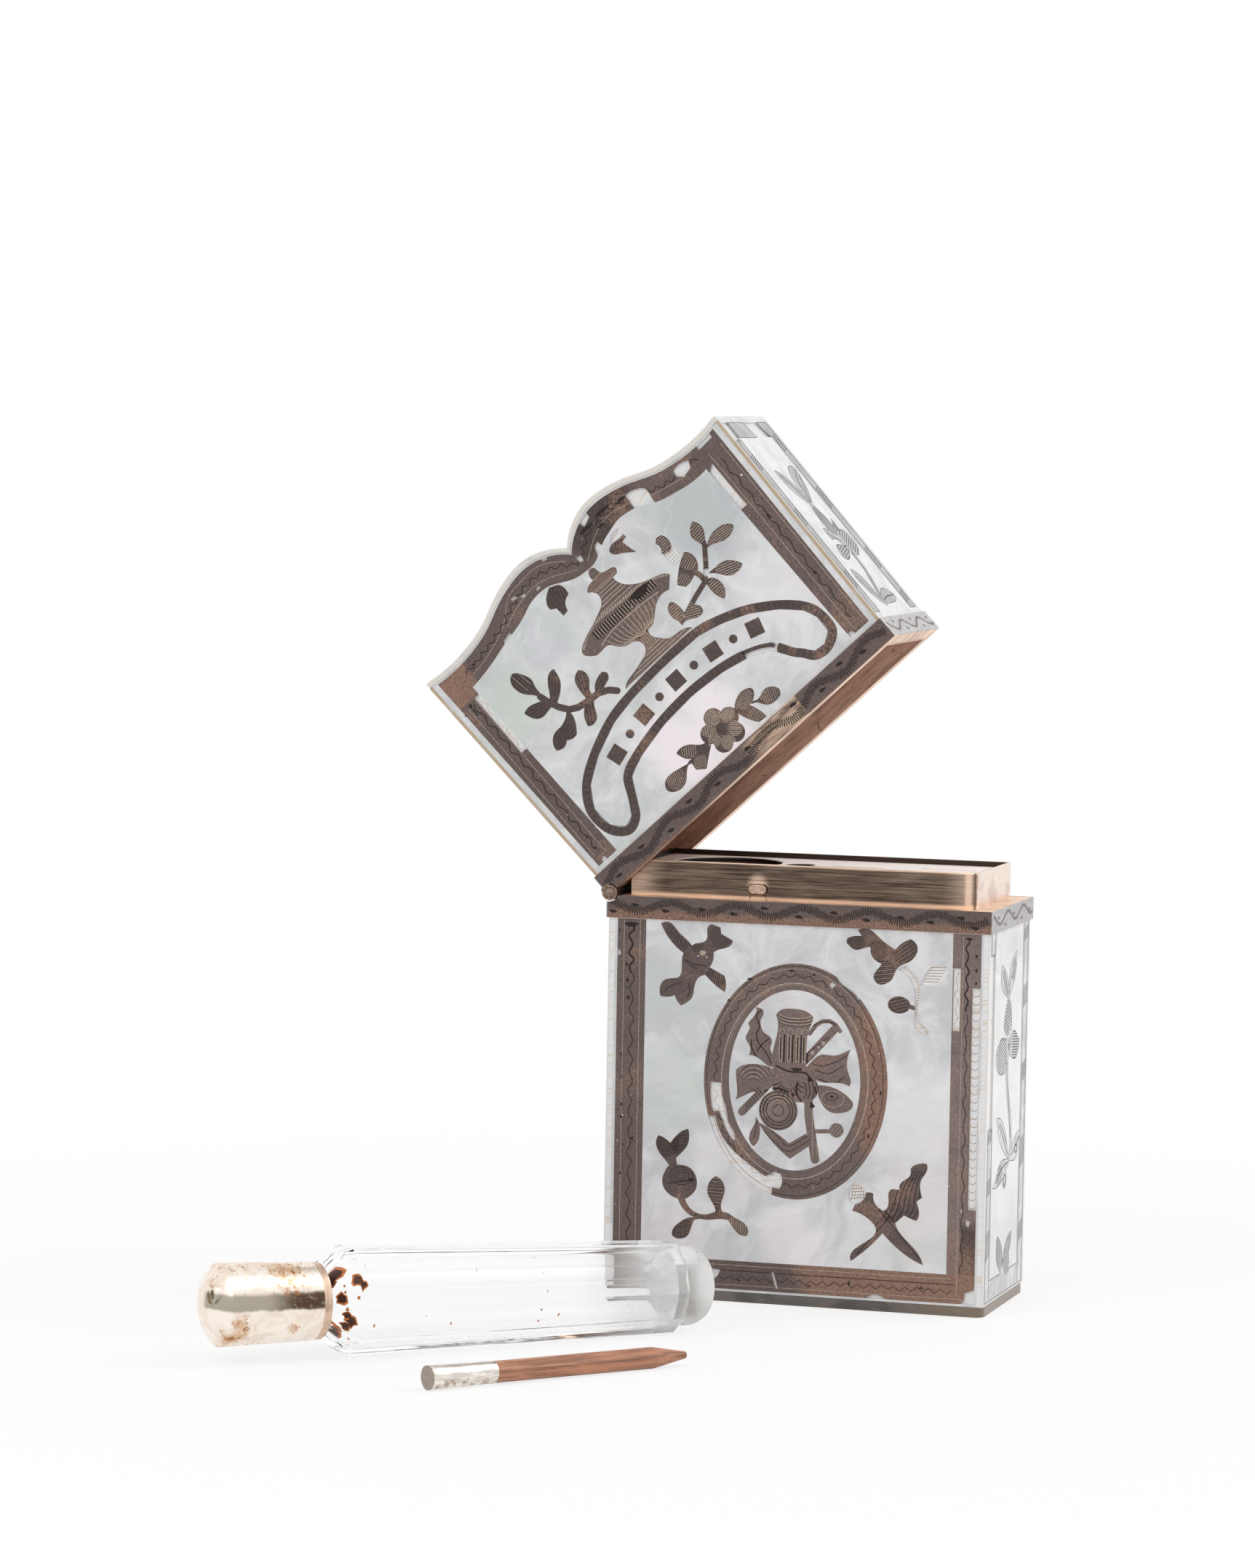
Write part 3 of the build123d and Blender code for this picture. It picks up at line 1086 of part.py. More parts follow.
write_inlay("lid_front_border", lid_border_pocket, lid_border_loss)
write_inlay("lid_front_urn", lid_urn_pocket)
write_inlay("lid_front_sprigs", lid_sprigs_pocket, lid_sprigs_loss)
write_inlay("lid_front_banner", lid_banner_pocket, lid_banner_loss)
write_inlay("lid_front_motifs", lid_motifs_pocket)
write_inlay("lid_front_spray", lid_spray_pocket)
write_inlay("lid_back_border", lid_back_border_pocket)
write_inlay("lid_back_urn", lid_back_urn_pocket)
write_inlay("lid_back_sprigs", lid_back_sprigs_pocket)
write_inlay("lid_right_inlay", lid_right_pocket, lid_right_loss)
write_inlay("lid_left_inlay", lid_left_pocket)


def write_lid_wide_plaque(name, middle_side, pockets):
    """A front or back plaque of the lid, up to the scalloped cover."""
    start = middle_side * carcass_y
    with BuildPart() as plaque:
        with BuildSketch(lid_plane((0, start, 0), (1, 0, 0), (0, -1, 0))):
            draw_under_top(top_cover_thickness)
            keep_lid_span(lid_carcass_x)
        extrude(amount=-middle_side * plaque_thickness)
        for pocket in pockets:
            extrude(pocket.sketch, amount=-inlay_depth, mode=Mode.SUBTRACT)
        add(lid_cove.part, mode=Mode.SUBTRACT)
    write(plaque.part, name)


def write_lid_narrow_plaque(name, side, bottom, pocket):
    """A side plaque of the lid, over its whole depth."""
    with BuildPart() as plaque:
        with BuildSketch(lid_middle):
            draw_under_top(top_cover_thickness)
            keep_lid_span(face_x)
            keep_lid_span(lid_carcass_x, mode=Mode.SUBTRACT)
            with Locations((side * case_width, bottom)):
                Rectangle(
                    2 * case_width, 2 * lid_height, align=(Align.CENTER, Align.MIN), mode=Mode.INTERSECT
                )
        extrude(amount=face_y, both=True)
        extrude(pocket.sketch, amount=-inlay_depth, mode=Mode.SUBTRACT)
    write(plaque.part, name)


write_lid_wide_plaque("lid_plaque_front", -1, [
    lid_border_pocket, lid_urn_pocket, lid_sprigs_pocket,
    lid_banner_pocket, lid_motifs_pocket, lid_spray_pocket,
])
write_lid_wide_plaque("lid_plaque_back", 1, [
    lid_back_border_pocket, lid_back_urn_pocket, lid_back_sprigs_pocket,
])
write_lid_narrow_plaque("lid_plaque_right", 1, lid_rim_top, lid_right_pocket)
write_lid_narrow_plaque("lid_plaque_left", -1, lid_rim_top + lid_bar_height, lid_left_pocket)

# Bottle, lying on one facet with its cap towards the front
glass_start = foot_length + groove_length
bottle_tilt = asin((glass_shoulder_radius - glass_foot_radius) / (bottle_body_length - glass_start))
bottle_lift = glass_foot_radius * cos(bottle_tilt) - glass_start * sin(bottle_tilt)
bottle_heading = radians(bottle_turn)
bottle_axis = Vector(
    cos(bottle_heading) * cos(bottle_tilt), sin(bottle_heading) * cos(bottle_tilt), sin(bottle_tilt)
)
bottle_start = Vector(bottle_x, bottle_y, bottle_lift)
bottle_level = Vector(-sin(bottle_heading), cos(bottle_heading), 0)


def bottle_plane(along):
    """A plane square to the bottle's axis, at a distance from its foot."""
    return Plane(origin=bottle_start + bottle_axis * along, x_dir=bottle_level, z_dir=bottle_axis)


ring_start = bottle_body_length + shoulder_length
cap_start = ring_start + ring_length
cap_end = cap_start + cap_length
crown_end = cap_end + cap_dome
boss_foot = cap_end + cap_dome * 0.35
bore_start = glass_start + glass_floor
bottle_profile = Plane(origin=bottle_start, x_dir=bottle_level, z_dir=bottle_axis.cross(bottle_level) * -1)

with BuildPart() as bottle_glass:
    with BuildSketch(bottle_plane(glass_start)):
        RegularPolygon(glass_foot_radius, bottle_sides, major_radius=False)
    with BuildSketch(bottle_plane(bottle_body_length)):
        RegularPolygon(glass_shoulder_radius, bottle_sides, major_radius=False)
    loft()
    with BuildSketch(bottle_plane(bottle_body_length)):
        RegularPolygon(glass_shoulder_radius, bottle_sides, major_radius=False)
    with BuildSketch(bottle_plane(ring_start)):
        RegularPolygon(neck_base_radius, bottle_sides, major_radius=False)
    loft()
    with BuildSketch(bottle_plane(ring_start)):
        Circle(neck_radius)
    extrude(amount=ring_length + neck_length)
    with BuildSketch(bottle_plane(foot_length)):
        Circle(groove_radius)
    extrude(amount=groove_length)
    with BuildSketch(bottle_profile):
        with BuildLine():
            side_point = (foot_radius, foot_length * 0.7)
            shoulder_point = (foot_radius * 0.8, foot_length * 0.1)
            end_point = (0, 0)
            Polyline(end_point, (0, foot_length), (groove_radius, foot_length), side_point)
            Spline(side_point, shoulder_point, end_point, tangents=((0, -1), (-1, 0)))
        make_face()
    revolve(axis=Axis(bottle_start, bottle_axis))
    with BuildSketch(bottle_plane(bore_start)):
        Circle(glass_foot_radius - glass_wall)
    with BuildSketch(bottle_plane(bottle_body_length)):
        Circle(glass_shoulder_radius - glass_wall)
    loft(mode=Mode.SUBTRACT)
    with BuildSketch(bottle_plane(bottle_body_length)):
        Circle(glass_shoulder_radius - glass_wall)
    with BuildSketch(bottle_plane(ring_start)):
        Circle(neck_bore_radius)
    loft(mode=Mode.SUBTRACT)
    with BuildSketch(bottle_plane(ring_start)):
        Circle(neck_bore_radius)
    extrude(amount=ring_length + neck_length, mode=Mode.SUBTRACT)
write(bottle_glass.part, "bottle_glass")

with BuildPart() as bottle_neck_ring:
    with BuildSketch(bottle_plane(ring_start)):
        Circle(ring_radius)
        Circle(neck_radius, mode=Mode.SUBTRACT)
    extrude(amount=ring_length)
write(bottle_neck_ring.part, "bottle_neck_ring")

with BuildPart() as bottle_cap:
    with BuildSketch(bottle_plane(cap_start)):
        Circle(cap_mouth_radius)
    with BuildSketch(bottle_plane(cap_end)):
        Circle(cap_crown_radius)
    loft()
    with BuildSketch(bottle_profile):
        with BuildLine():
            rim_point = (cap_crown_radius, cap_end)
            Polyline((0, crown_end), (0, cap_end), rim_point)
            Spline(rim_point, (0, crown_end), tangents=((-0.7, 0.7), (-1, 0)))
        make_face()
    revolve(axis=Axis(bottle_start, bottle_axis))
    with BuildSketch(bottle_plane(cap_start)):
        Circle(neck_radius + cap_neck_clearance)
    extrude(amount=cap_length - cap_wall, mode=Mode.SUBTRACT)
    with BuildSketch(bottle_plane(boss_foot)):
        with Locations((boss_side, boss_up)):
            Circle(boss_radius)
    extrude(amount=cap_dome, mode=Mode.SUBTRACT)
write(bottle_cap.part, "bottle_cap")

with BuildPart() as cap_boss:
    with BuildSketch(bottle_plane(boss_foot)):
        with Locations((boss_side, boss_up)):
            Circle(boss_radius)
    extrude(amount=crown_end - boss_height - boss_foot)
    with BuildSketch(bottle_plane(crown_end - boss_height)):
        with Locations((boss_side, boss_up)):
            Circle(boss_radius * 0.5)
    extrude(amount=-boss_height, mode=Mode.SUBTRACT)
write(cap_boss.part, "cap_boss")

with BuildPart() as bottle_stopper:
    with BuildSketch(bottle_plane(cap_end - cap_wall)):
        Circle(neck_bore_radius - stopper_clearance)
    extrude(amount=-(cap_end - cap_wall - cap_start - neck_length + stopper_length))
write(bottle_stopper.part, "bottle_stopper")

# Stick with its ferrule, lying along the table
point_start = stick_length - stick_point_length
stick_tilt = -asin((ferrule_radius - stick_radius * cos(pi / stick_sides)) / point_start)
stick_heading = radians(stick_turn)
stick_axis = Vector(
    cos(stick_heading) * cos(stick_tilt), sin(stick_heading) * cos(stick_tilt), sin(stick_tilt)
)
stick_start = Vector(stick_x, stick_y, ferrule_radius * cos(stick_tilt))
stick_level = Vector(-sin(stick_heading), cos(stick_heading), 0)


def stick_plane(along):
    """A plane square to the stick's axis, at a distance from the ferrule's end."""
    return Plane(origin=stick_start + stick_axis * along, x_dir=stick_level, z_dir=stick_axis)


tenon_radius = ferrule_mouth_radius - ferrule_wall
flat_turn = 180 / stick_sides

with BuildPart() as stick_shaft:
    with BuildSketch(stick_plane(ferrule_wall)):
        Circle(tenon_radius)
    extrude(amount=ferrule_length - ferrule_wall)
    with BuildSketch(stick_plane(ferrule_length)):
        RegularPolygon(stick_radius, stick_sides, rotation=flat_turn)
    extrude(amount=point_start - ferrule_length)
    with BuildSketch(stick_plane(point_start)):
        RegularPolygon(stick_radius, stick_sides, rotation=flat_turn)
    with BuildSketch(stick_plane(stick_length)):
        RegularPolygon(stick_point_radius, stick_sides, rotation=flat_turn)
    loft()
write(stick_shaft.part, "stick_shaft")

with BuildPart() as stick_ferrule:
    with BuildSketch(stick_plane(0)):
        Circle(ferrule_radius)
    with BuildSketch(stick_plane(ferrule_length)):
        Circle(ferrule_mouth_radius)
    loft()
    with BuildSketch(stick_plane(ferrule_wall)):
        Circle(tenon_radius)
    extrude(amount=ferrule_length - ferrule_wall, mode=Mode.SUBTRACT)
write(stick_ferrule.part, "stick_ferrule")
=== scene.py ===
"""Antique vanity case with its scent bottle and stick, finished in pearl, silver, gilt and glass.

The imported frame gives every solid. This script gives the solids their finishes, engraves the metal and
sets the stage. Metres, +Z up, with the base of the case centred on the origin.
"""

import json
import math
import random

import bpy
from mathutils import Matrix, Vector
from mathutils.bvhtree import BVHTree


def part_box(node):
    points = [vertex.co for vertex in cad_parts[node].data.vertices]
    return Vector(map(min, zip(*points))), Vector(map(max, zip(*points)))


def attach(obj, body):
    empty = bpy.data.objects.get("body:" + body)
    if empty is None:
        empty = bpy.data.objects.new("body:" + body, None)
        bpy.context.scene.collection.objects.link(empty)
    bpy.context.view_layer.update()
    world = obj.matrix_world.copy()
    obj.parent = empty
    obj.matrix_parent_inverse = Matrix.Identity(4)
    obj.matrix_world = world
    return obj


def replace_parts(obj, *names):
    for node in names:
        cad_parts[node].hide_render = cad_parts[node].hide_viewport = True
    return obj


bl_info = {
    "name": "Antique vanity case",
    "version": (1, 0, 0),
    "blender": (4, 5, 0),
    "location": "View3D > Sidebar > Vanity case",
    "description": "Finishes, engraving and stage for a pearl-faced vanity case",
    "category": "Object",
}

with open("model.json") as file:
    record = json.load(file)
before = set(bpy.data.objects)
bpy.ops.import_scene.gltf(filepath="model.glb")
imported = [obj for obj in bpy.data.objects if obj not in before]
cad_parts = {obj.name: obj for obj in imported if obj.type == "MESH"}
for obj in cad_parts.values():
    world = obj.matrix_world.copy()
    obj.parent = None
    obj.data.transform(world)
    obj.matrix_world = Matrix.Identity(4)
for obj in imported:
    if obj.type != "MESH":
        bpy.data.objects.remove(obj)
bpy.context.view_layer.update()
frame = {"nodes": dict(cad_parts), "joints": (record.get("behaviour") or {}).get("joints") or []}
nodes = frame["nodes"]

band_low, band_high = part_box("body_band")
case_width = band_high.x - band_low.x
case_depth = band_high.y - band_low.y
joint_height = band_high.z
face_y = -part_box("body_plaque_front")[0].y
face_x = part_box("body_plaque_right")[1].x
MM = 0.001

# The lid's narrow sides lean out by a flare, over the height from the lid's rim to its top, in millimetres
lid_flare, lid_lean_height, lid_rim_height = 0.9, 33.1, 2.9
lid_lean = math.atan2(lid_flare, lid_lean_height)
lid_side_x = face_x - math.tan(lid_lean) * lid_rim_height * MM
pocket_depth = 0.25 * MM

# The look for silver behind a place on a face: where it starts, how far it goes and how exact it is
PROBE_LIFT, PROBE_REACH, PROBE_SLACK = 0.0005, 0.0006, 0.00002
FLAT_SLACK = 1e-5
WELD_REACH = 2e-6
SOFTENED_ANGLE = math.radians(35)

# Millimetres between the points of a cut, and the corners of round shapes
CUT_STEP = 0.12
BLOT_CORNERS, FLECK_CORNERS, FLOOR_CORNERS = 16, 11, 96
FLOOR_DROP = 0.00005

# The photograph's height, and the lens that fits it, both in pixels
PHOTO_HEIGHT, LENS_PIXELS, SENSOR_MM = 2156, 7635.4, 36.0


def hinge_turn(to_closed):
    """The lid's turn between the rest pose and shut, as a matrix."""
    joint = next(j for j in frame["joints"] if j["name"] == "lid_hinge")
    pivot = Vector(joint["pos_m"])
    angle = math.radians(joint["range_deg"][0])
    turn = Matrix.Rotation(angle if to_closed else -angle, 4, Vector(joint["axis"]))
    return Matrix.Translation(pivot) @ turn @ Matrix.Translation(-pivot)


def axis_frame(start, axis):
    """The matrix that takes row coordinates to a turned piece's own, with Z along its axis."""
    along = Vector(axis).normalized()
    across = Vector((-along.y, along.x, 0)).normalized()
    upward = along.cross(across)
    basis = Matrix((across, upward, along)).to_4x4()
    return basis @ Matrix.Translation(-Vector(start))


lid_to_rest = hinge_turn(False)
lid_to_shut = hinge_turn(True)
cap_axis = Vector(next(j for j in frame["joints"] if j["name"] == "cap_pull")["axis"])
bottle_view = axis_frame(Vector((-5.95, -30.95, 5.295)) * MM, cap_axis)
stick_axis = Vector((math.cos(math.radians(49.8)), math.sin(math.radians(49.8)), -0.0066))
stick_view = axis_frame(Vector((-23.4, -83.8, 1.43)) * MM, stick_axis)


# Shader tools

class Signal:
    """A socket in a finish. Arithmetic on it adds Math nodes."""

    def __init__(self, finish, socket):
        self.finish = finish
        self.socket = socket

    def maths(self, operation, *terms):
        return self.finish.node("ShaderNodeMath", {"operation": operation}, dict(enumerate(terms)))

    def other(self, output):
        """Another output of the same node, by its name or its place."""
        return Signal(self.finish, self.socket.node.outputs[output])

    def __add__(self, term):
        return self.maths("ADD", self, term)

    __radd__ = __add__

    def __sub__(self, term):
        return self.maths("SUBTRACT", self, term)

    def __rsub__(self, term):
        return self.maths("SUBTRACT", term, self)

    def __mul__(self, term):
        return self.maths("MULTIPLY", self, term)

    __rmul__ = __mul__

    def __abs__(self):
        return self.maths("ABSOLUTE", self)

    def between(self, low, high):
        """0 below low, 1 above high, and smooth in between. Falls where low is the larger."""
        return self.finish.node(
            "ShaderNodeMapRange", {"interpolation_type": "SMOOTHSTEP"},
            {"Value": self, "From Min": low, "From Max": high},
        )


class Finish:
    """A material, or a world, under construction."""

    def __init__(self, name, holder=None):
        self.material = holder or bpy.data.materials.new(name)
        self.material.use_nodes = True
        self.tree = self.material.node_tree
        self.tree.nodes.clear()

    def node(self, kind, settings=None, sockets=None):
        """A node with its settings, and the values or links of its sockets."""
        made = self.tree.nodes.new(kind)
        for name, value in (settings or {}).items():
            setattr(made, name, value)
        for key, value in (sockets or {}).items():
            if isinstance(value, Signal):
                self.tree.links.new(value.socket, made.inputs[key])
            elif made.inputs[key].type == "RGBA":
                made.inputs[key].default_value = (*value, 1.0)
            else:
                made.inputs[key].default_value = value
        return Signal(self, made.outputs[0]) if made.outputs else None

    def millimetres(self, view=None):
        """Object coordinates in millimetres, turned by a view matrix where one is given."""
        turn = Matrix.Scale(1 / MM, 4) @ view if view else Matrix.Scale(1 / MM, 4)
        return self.node("ShaderNodeMapping", {}, {
            "Vector": self.node("ShaderNodeTexCoord").other("Object"),
            "Location": turn.to_translation(), "Rotation": turn.to_euler(), "Scale": turn.to_scale(),
        })

    def parts(self, vector):
        """The three numbers of a place."""
        split = self.node("ShaderNodeSeparateXYZ", {}, {0: vector})
        return split, split.other("Y"), split.other("Z")

    def stretch(self, vector, factors):
        """Coordinates that make a pattern longer along an axis where its factor is small."""
        return self.node("ShaderNodeVectorMath", {"operation": "MULTIPLY"}, {0: vector, 1: factors})

    def turned(self, vector, degrees):
        """Coordinates turned about the depth of the case, for slanting streaks on its wide faces."""
        return self.node("ShaderNodeVectorRotate", {"rotation_type": "Y_AXIS"},
                         {"Vector": vector, "Angle": math.radians(degrees)})

    def near(self, place, centre, inner, outer):
        """1 within a distance of a point, falling to 0 further out."""
        distance = self.node("ShaderNodeVectorMath", {"operation": "DISTANCE"}, {0: place, 1: centre})
        return distance.other("Value").between(outer, inner)

    def noise(self, vector, scale, detail, distortion=0.0, roughness=0.5):
        """A cloudy pattern between 0 and 1."""
        return self.node("ShaderNodeTexNoise", {}, {
            "Vector": vector, "Scale": scale, "Detail": detail, "Distortion": distortion,
            "Roughness": roughness,
        })

    def mix(self, share, first, second):
        """The first colour, with a share of the second. 6, 7 and 2 are the Mix node's colour sockets."""
        return self.node("ShaderNodeMix", {"data_type": "RGBA"}, {0: share, 6: first, 7: second}).other(2)

    def bump(self, height, depth, strength):
        """A normal for fine relief, with its depth in metres."""
        return self.node("ShaderNodeBump", {}, {"Strength": strength, "Distance": depth, "Height": height})

    def background_rays(self):
        """1 for rays from the camera, and for those that metal and glass send on."""
        rays = self.node("ShaderNodeLightPath")
        return (rays + rays.other("Is Glossy Ray") + rays.other("Is Transmission Ray")).between(0.0, 0.9)

    def surface(self, **sockets):
        """Ends the finish in one principled surface. Socket names are given with low lines for spaces."""
        named = {key.replace("_", " "): value for key, value in sockets.items()}
        shader = self.node("ShaderNodeBsdfPrincipled", {}, named)
        self.node("ShaderNodeOutputMaterial", {}, {"Surface": shader})
        return self.material

    def mixed_surface(self, share, first, second):
        """Ends the finish in two shaders, with a share of the second."""
        mixed = self.node("ShaderNodeMixShader", {}, {0: share, 1: first, 2: second})
        self.node("ShaderNodeOutputMaterial", {}, {"Surface": mixed})
        return self.material


def shade(colour, factor):
    """A darker or lighter version of a colour."""
    return tuple(min(1.0, c * factor) for c in colour)


def dress(names, material):
    """Gives CAD nodes a finish."""
    for name in names:
        node = nodes[name]
        node.data.materials.clear()
        node.data.materials.append(material)


def soften(names, width):
    """Rounds the edges of CAD nodes slightly, inwards."""
    for name in names:
        weld = nodes[name].modifiers.new("weld", "WELD")
        weld.merge_threshold = WELD_REACH
        bevel = nodes[name].modifiers.new("edges", "BEVEL")
        bevel.width = width
        bevel.segments = 2
        bevel.limit_method = "ANGLE"
        bevel.angle_limit = SOFTENED_ANGLE
        bevel.use_clamp_overlap = True


def add_to_scene(name, data):
    """A new object that holds a mesh, a lamp or a camera."""
    made = bpy.data.objects.new(name, data)
    bpy.context.scene.collection.objects.link(made)
    return made


def build(name, body, points, faces, material):
    """A mesh piece that rides on a body."""
    mesh = bpy.data.meshes.new(name)
    mesh.from_pydata([tuple(p) for p in points], [], faces)
    mesh.validate()
    mesh.materials.append(material)
    piece = add_to_scene(name, mesh)
    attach(piece, body)
    return piece


# Sizes and colours

class VanityCaseSizes(bpy.types.PropertyGroup):
    """Sizes that a user may change."""

    def length(title, note, default, low, high, digits=5):
        return bpy.props.FloatProperty(
            name=title, description=note, default=default, min=low, max=high, unit="LENGTH", precision=digits)

    cut_width: length("Cut width", "Width of an engraved line", 0.00007, 0.00002, 0.0003)
    cut_lift: length("Cut lift", "Height of the dark of a cut over the metal", 0.000006, 0.000001, 0.00005, 6)
    zigzag_pitch: length("Zigzag pitch", "Length of one zigzag on the borders", 0.0016, 0.0005, 0.005)
    rocker_pitch: length("Rocker pitch", "Length of one step of the rims' rocked cut", 0.0003, 0.0001, 0.001)
    wave_length: length("Wave length", "Length of one wave on the rims", 0.0086, 0.004, 0.02, 4)
    edge_wear: length("Edge wear", "Radius of the worn edges", 0.00008, 0.0, 0.0003)
    floor_radius: length("Floor radius", "Reach of the pale floor", 1.5, 0.5, 5.0, 2)


class VanityCaseColours(bpy.types.PropertyGroup):
    """Colours that a user may change."""

    def colour(title, note, default):
        return bpy.props.FloatVectorProperty(
            name=title, description=note, subtype="COLOR", size=3, default=default, min=0.0, max=1.0)

    pearl: colour("Pearl", "Main tone of the mother-of-pearl", (0.62, 0.625, 0.64))
    pearl_light: colour("Pearl light", "Bright clouds of the pearl", (0.80, 0.80, 0.81))
    pearl_green: colour("Pearl green", "Greenish gleam of the pearl", (0.58, 0.64, 0.60))
    pearl_pink: colour("Pearl pink", "Pinkish gleam of the pearl", (0.78, 0.70, 0.74))
    tan: colour("Tan", "Cut edges of the pearl and glue in bare pockets", (0.50, 0.39, 0.29))
    tarnish: colour("Tarnish", "Dark tarnish on the silver", (0.100, 0.076, 0.070))
    copper: colour("Copper", "Reddish tone where the tarnish is rubbed", (0.27, 0.165, 0.125))
    bright: colour("Bright silver", "Silver of the narrow sides", (0.70, 0.69, 0.68))
    cut: colour("Cut", "Dark of the engraved lines", (0.025, 0.018, 0.016))
    cut_pale: colour("Pale cut", "Bright of the engraved lines", (0.42, 0.34, 0.27))
    gilt: colour("Gilt", "Light tone of the gilt metal", (0.66, 0.48, 0.36))
    # This colour also serves as painted shade and a painted dark reflection on the collar and below the
    # plate's top.
    soot_and_shade: colour("Soot", "Dark streaks on the gilt metal", (0.075, 0.050, 0.040))
    horn: colour("Horn", "Base plate", (0.085, 0.074, 0.064))
    wood: colour("Wood", "Wood of the box and block", (0.16, 0.07, 0.04))
    stick: colour("Stick", "Brown of the stick", (0.40, 0.18, 0.10))


def sizes():
    return bpy.context.scene.vanity_case_sizes


def colours():
    return bpy.context.scene.vanity_case_colours


# Finishes

def pearl_finish(name, view, tints=(), edge_tint=None, edge_mask=None, pocket_mask=None):
    """Mother-of-pearl: cloudy and streaked, with green and pink gleams, fine scratches and tan cut edges."""
    c = colours()
    f = Finish(name)
    place = f.millimetres(view)
    x, y, z = f.parts(place)
    clouds = f.noise(place, 0.13, 4.0, 1.4, 0.6)
    patches = f.noise(place, 0.07, 2.0, 0.8)
    streaks = f.noise(f.stretch(f.turned(place, 28), (0.3, 0.45, 1.3)), 0.7, 5.0, 1.3, 0.6)
    scratches = f.noise(f.stretch(f.turned(place, 14), (0.05, 1.0, 2.6)), 2.2, 2.0, 0.5)
    flaws = f.noise(f.stretch(f.turned(place, -32), (0.04, 1.0, 3.0)), 1.7, 2.0, 0.3)
    colour = f.mix(clouds.between(0.36, 0.66), shade(c.pearl, 0.97), c.pearl_light)
    # Tints round given points: the pearl's own gleams, and on the body's narrow sides painted light.
    for centre, inner, outer, tint, share in tints:
        spread = f.near(place, centre, inner, outer) + 0.5 * (clouds - 0.5)
        colour = f.mix(spread.between(0.1, 0.9) * share, colour, tint)
    colour = f.mix(patches.between(0.52, 0.66) * 0.38, colour, c.pearl_green)
    colour = f.mix(patches.between(0.48, 0.34) * 0.38, colour, c.pearl_pink)
    colour = f.mix(streaks.between(0.54, 0.76) * 0.32, colour, shade(c.pearl_light, 1.12))
    colour = f.mix(streaks.between(0.46, 0.26) * 0.16, colour, shade(c.pearl, 0.80))
    colour = f.mix(scratches.between(0.68, 0.74) * 0.30, colour, shade(c.pearl, 0.70))
    colour = f.mix(flaws.between(0.72, 0.77) * 0.30, colour, shade(c.pearl, 0.62))
    if edge_mask:
        colour = f.mix(edge_mask(x, y, z) * clouds.between(0.20, 0.50), colour, edge_tint)
    if pocket_mask:
        glue = f.mix(scratches.between(0.25, 0.5), shade(c.tan, 1.5), shade(c.pearl_light, 1.06))
        colour = f.mix(pocket_mask(x, y, z) * streaks.between(0.15, 0.5), colour, glue)
    height = 0.5 * streaks + 0.3 * scratches + 0.4 * flaws
    return f.surface(
        Base_Color=colour, Roughness=0.26 + 0.16 * streaks, Normal=f.bump(height, 0.00003, 0.35),
        Specular_IOR_Level=0.55, Coat_Weight=0.25, Coat_Roughness=0.18,
    )


def silver_finish(name, view, level, chips, rub, areas=(), copper=None):
    """Tarnished silver: brown and matt, rubbed reddish in places and chipped here and there."""
    c = colours()
    f = Finish(name)
    place = f.millimetres(view)
    x, _, z = f.parts(place)
    broad = f.noise(place, 0.14, 3.0, 0.8)
    grain = f.noise(place, 3.2, 6.0, 0.3, 0.7)
    specks = f.noise(f.stretch(place, (1.0, 1.0, 0.7)), 1.35, 2.0, 0.6)

    def tone(factor):
        dark, light = shade(c.tarnish, 0.74 * factor), shade(c.tarnish, 1.28 * factor)
        return f.mix(grain.between(0.3, 0.7), dark, light)

    colour = tone(level)
    for mask, factor in areas:
        colour = f.mix(mask(x, z), colour, tone(factor))
    colour = f.mix(broad.between(0.60, 0.38) * 0.4, colour, tone(0.75 * level))
    red = f.mix(grain.between(0.28, 0.72), shade(c.copper, 0.60), shade(c.copper, 1.25))
    rubbed = (broad + 0.35 * grain).between(0.80 - 0.2 * rub, 0.95 - 0.2 * rub)
    colour = f.mix(rubbed * grain.between(0.30, 0.55) * 0.7, colour, red)
    if copper:
        colour = f.mix((copper(x, z) * (0.3 + 1.2 * broad)).between(0.1, 1.0), colour, red)
    chip = specks.between(0.775 - 0.03 * chips, 0.79 - 0.03 * chips)
    colour = f.mix(chip, colour, c.pearl_light)
    return f.surface(
        Base_Color=colour, Roughness=0.42 + 0.25 * grain, Metallic=0.75 - 0.75 * chip,
        Normal=f.bump(grain - 1.5 * chip, 0.00003, 0.5),
    )


def bright_silver_finish(name, view, light):
    """Silver of the narrow sides: rubbed bright, with faint grey clouds."""
    c = colours()
    f = Finish(name)
    place = f.millimetres(view)
    broad = f.noise(place, 0.30, 3.0, 0.8)
    grain = f.noise(f.stretch(place, (1.0, 1.0, 0.4)), 2.2, 4.0, 0.5)
    colour = f.mix(broad.between(0.40, 0.62), shade(c.bright, 0.86 * light), shade(c.bright, 1.08 * light))
    colour = f.mix(grain.between(0.58, 0.72) * 0.3, colour, shade(c.bright, 0.6 * light))
    return f.surface(
        Base_Color=colour, Roughness=0.30 + 0.2 * grain, Metallic=0.85,
        Normal=f.bump(grain, 0.00003, 0.35),
    )


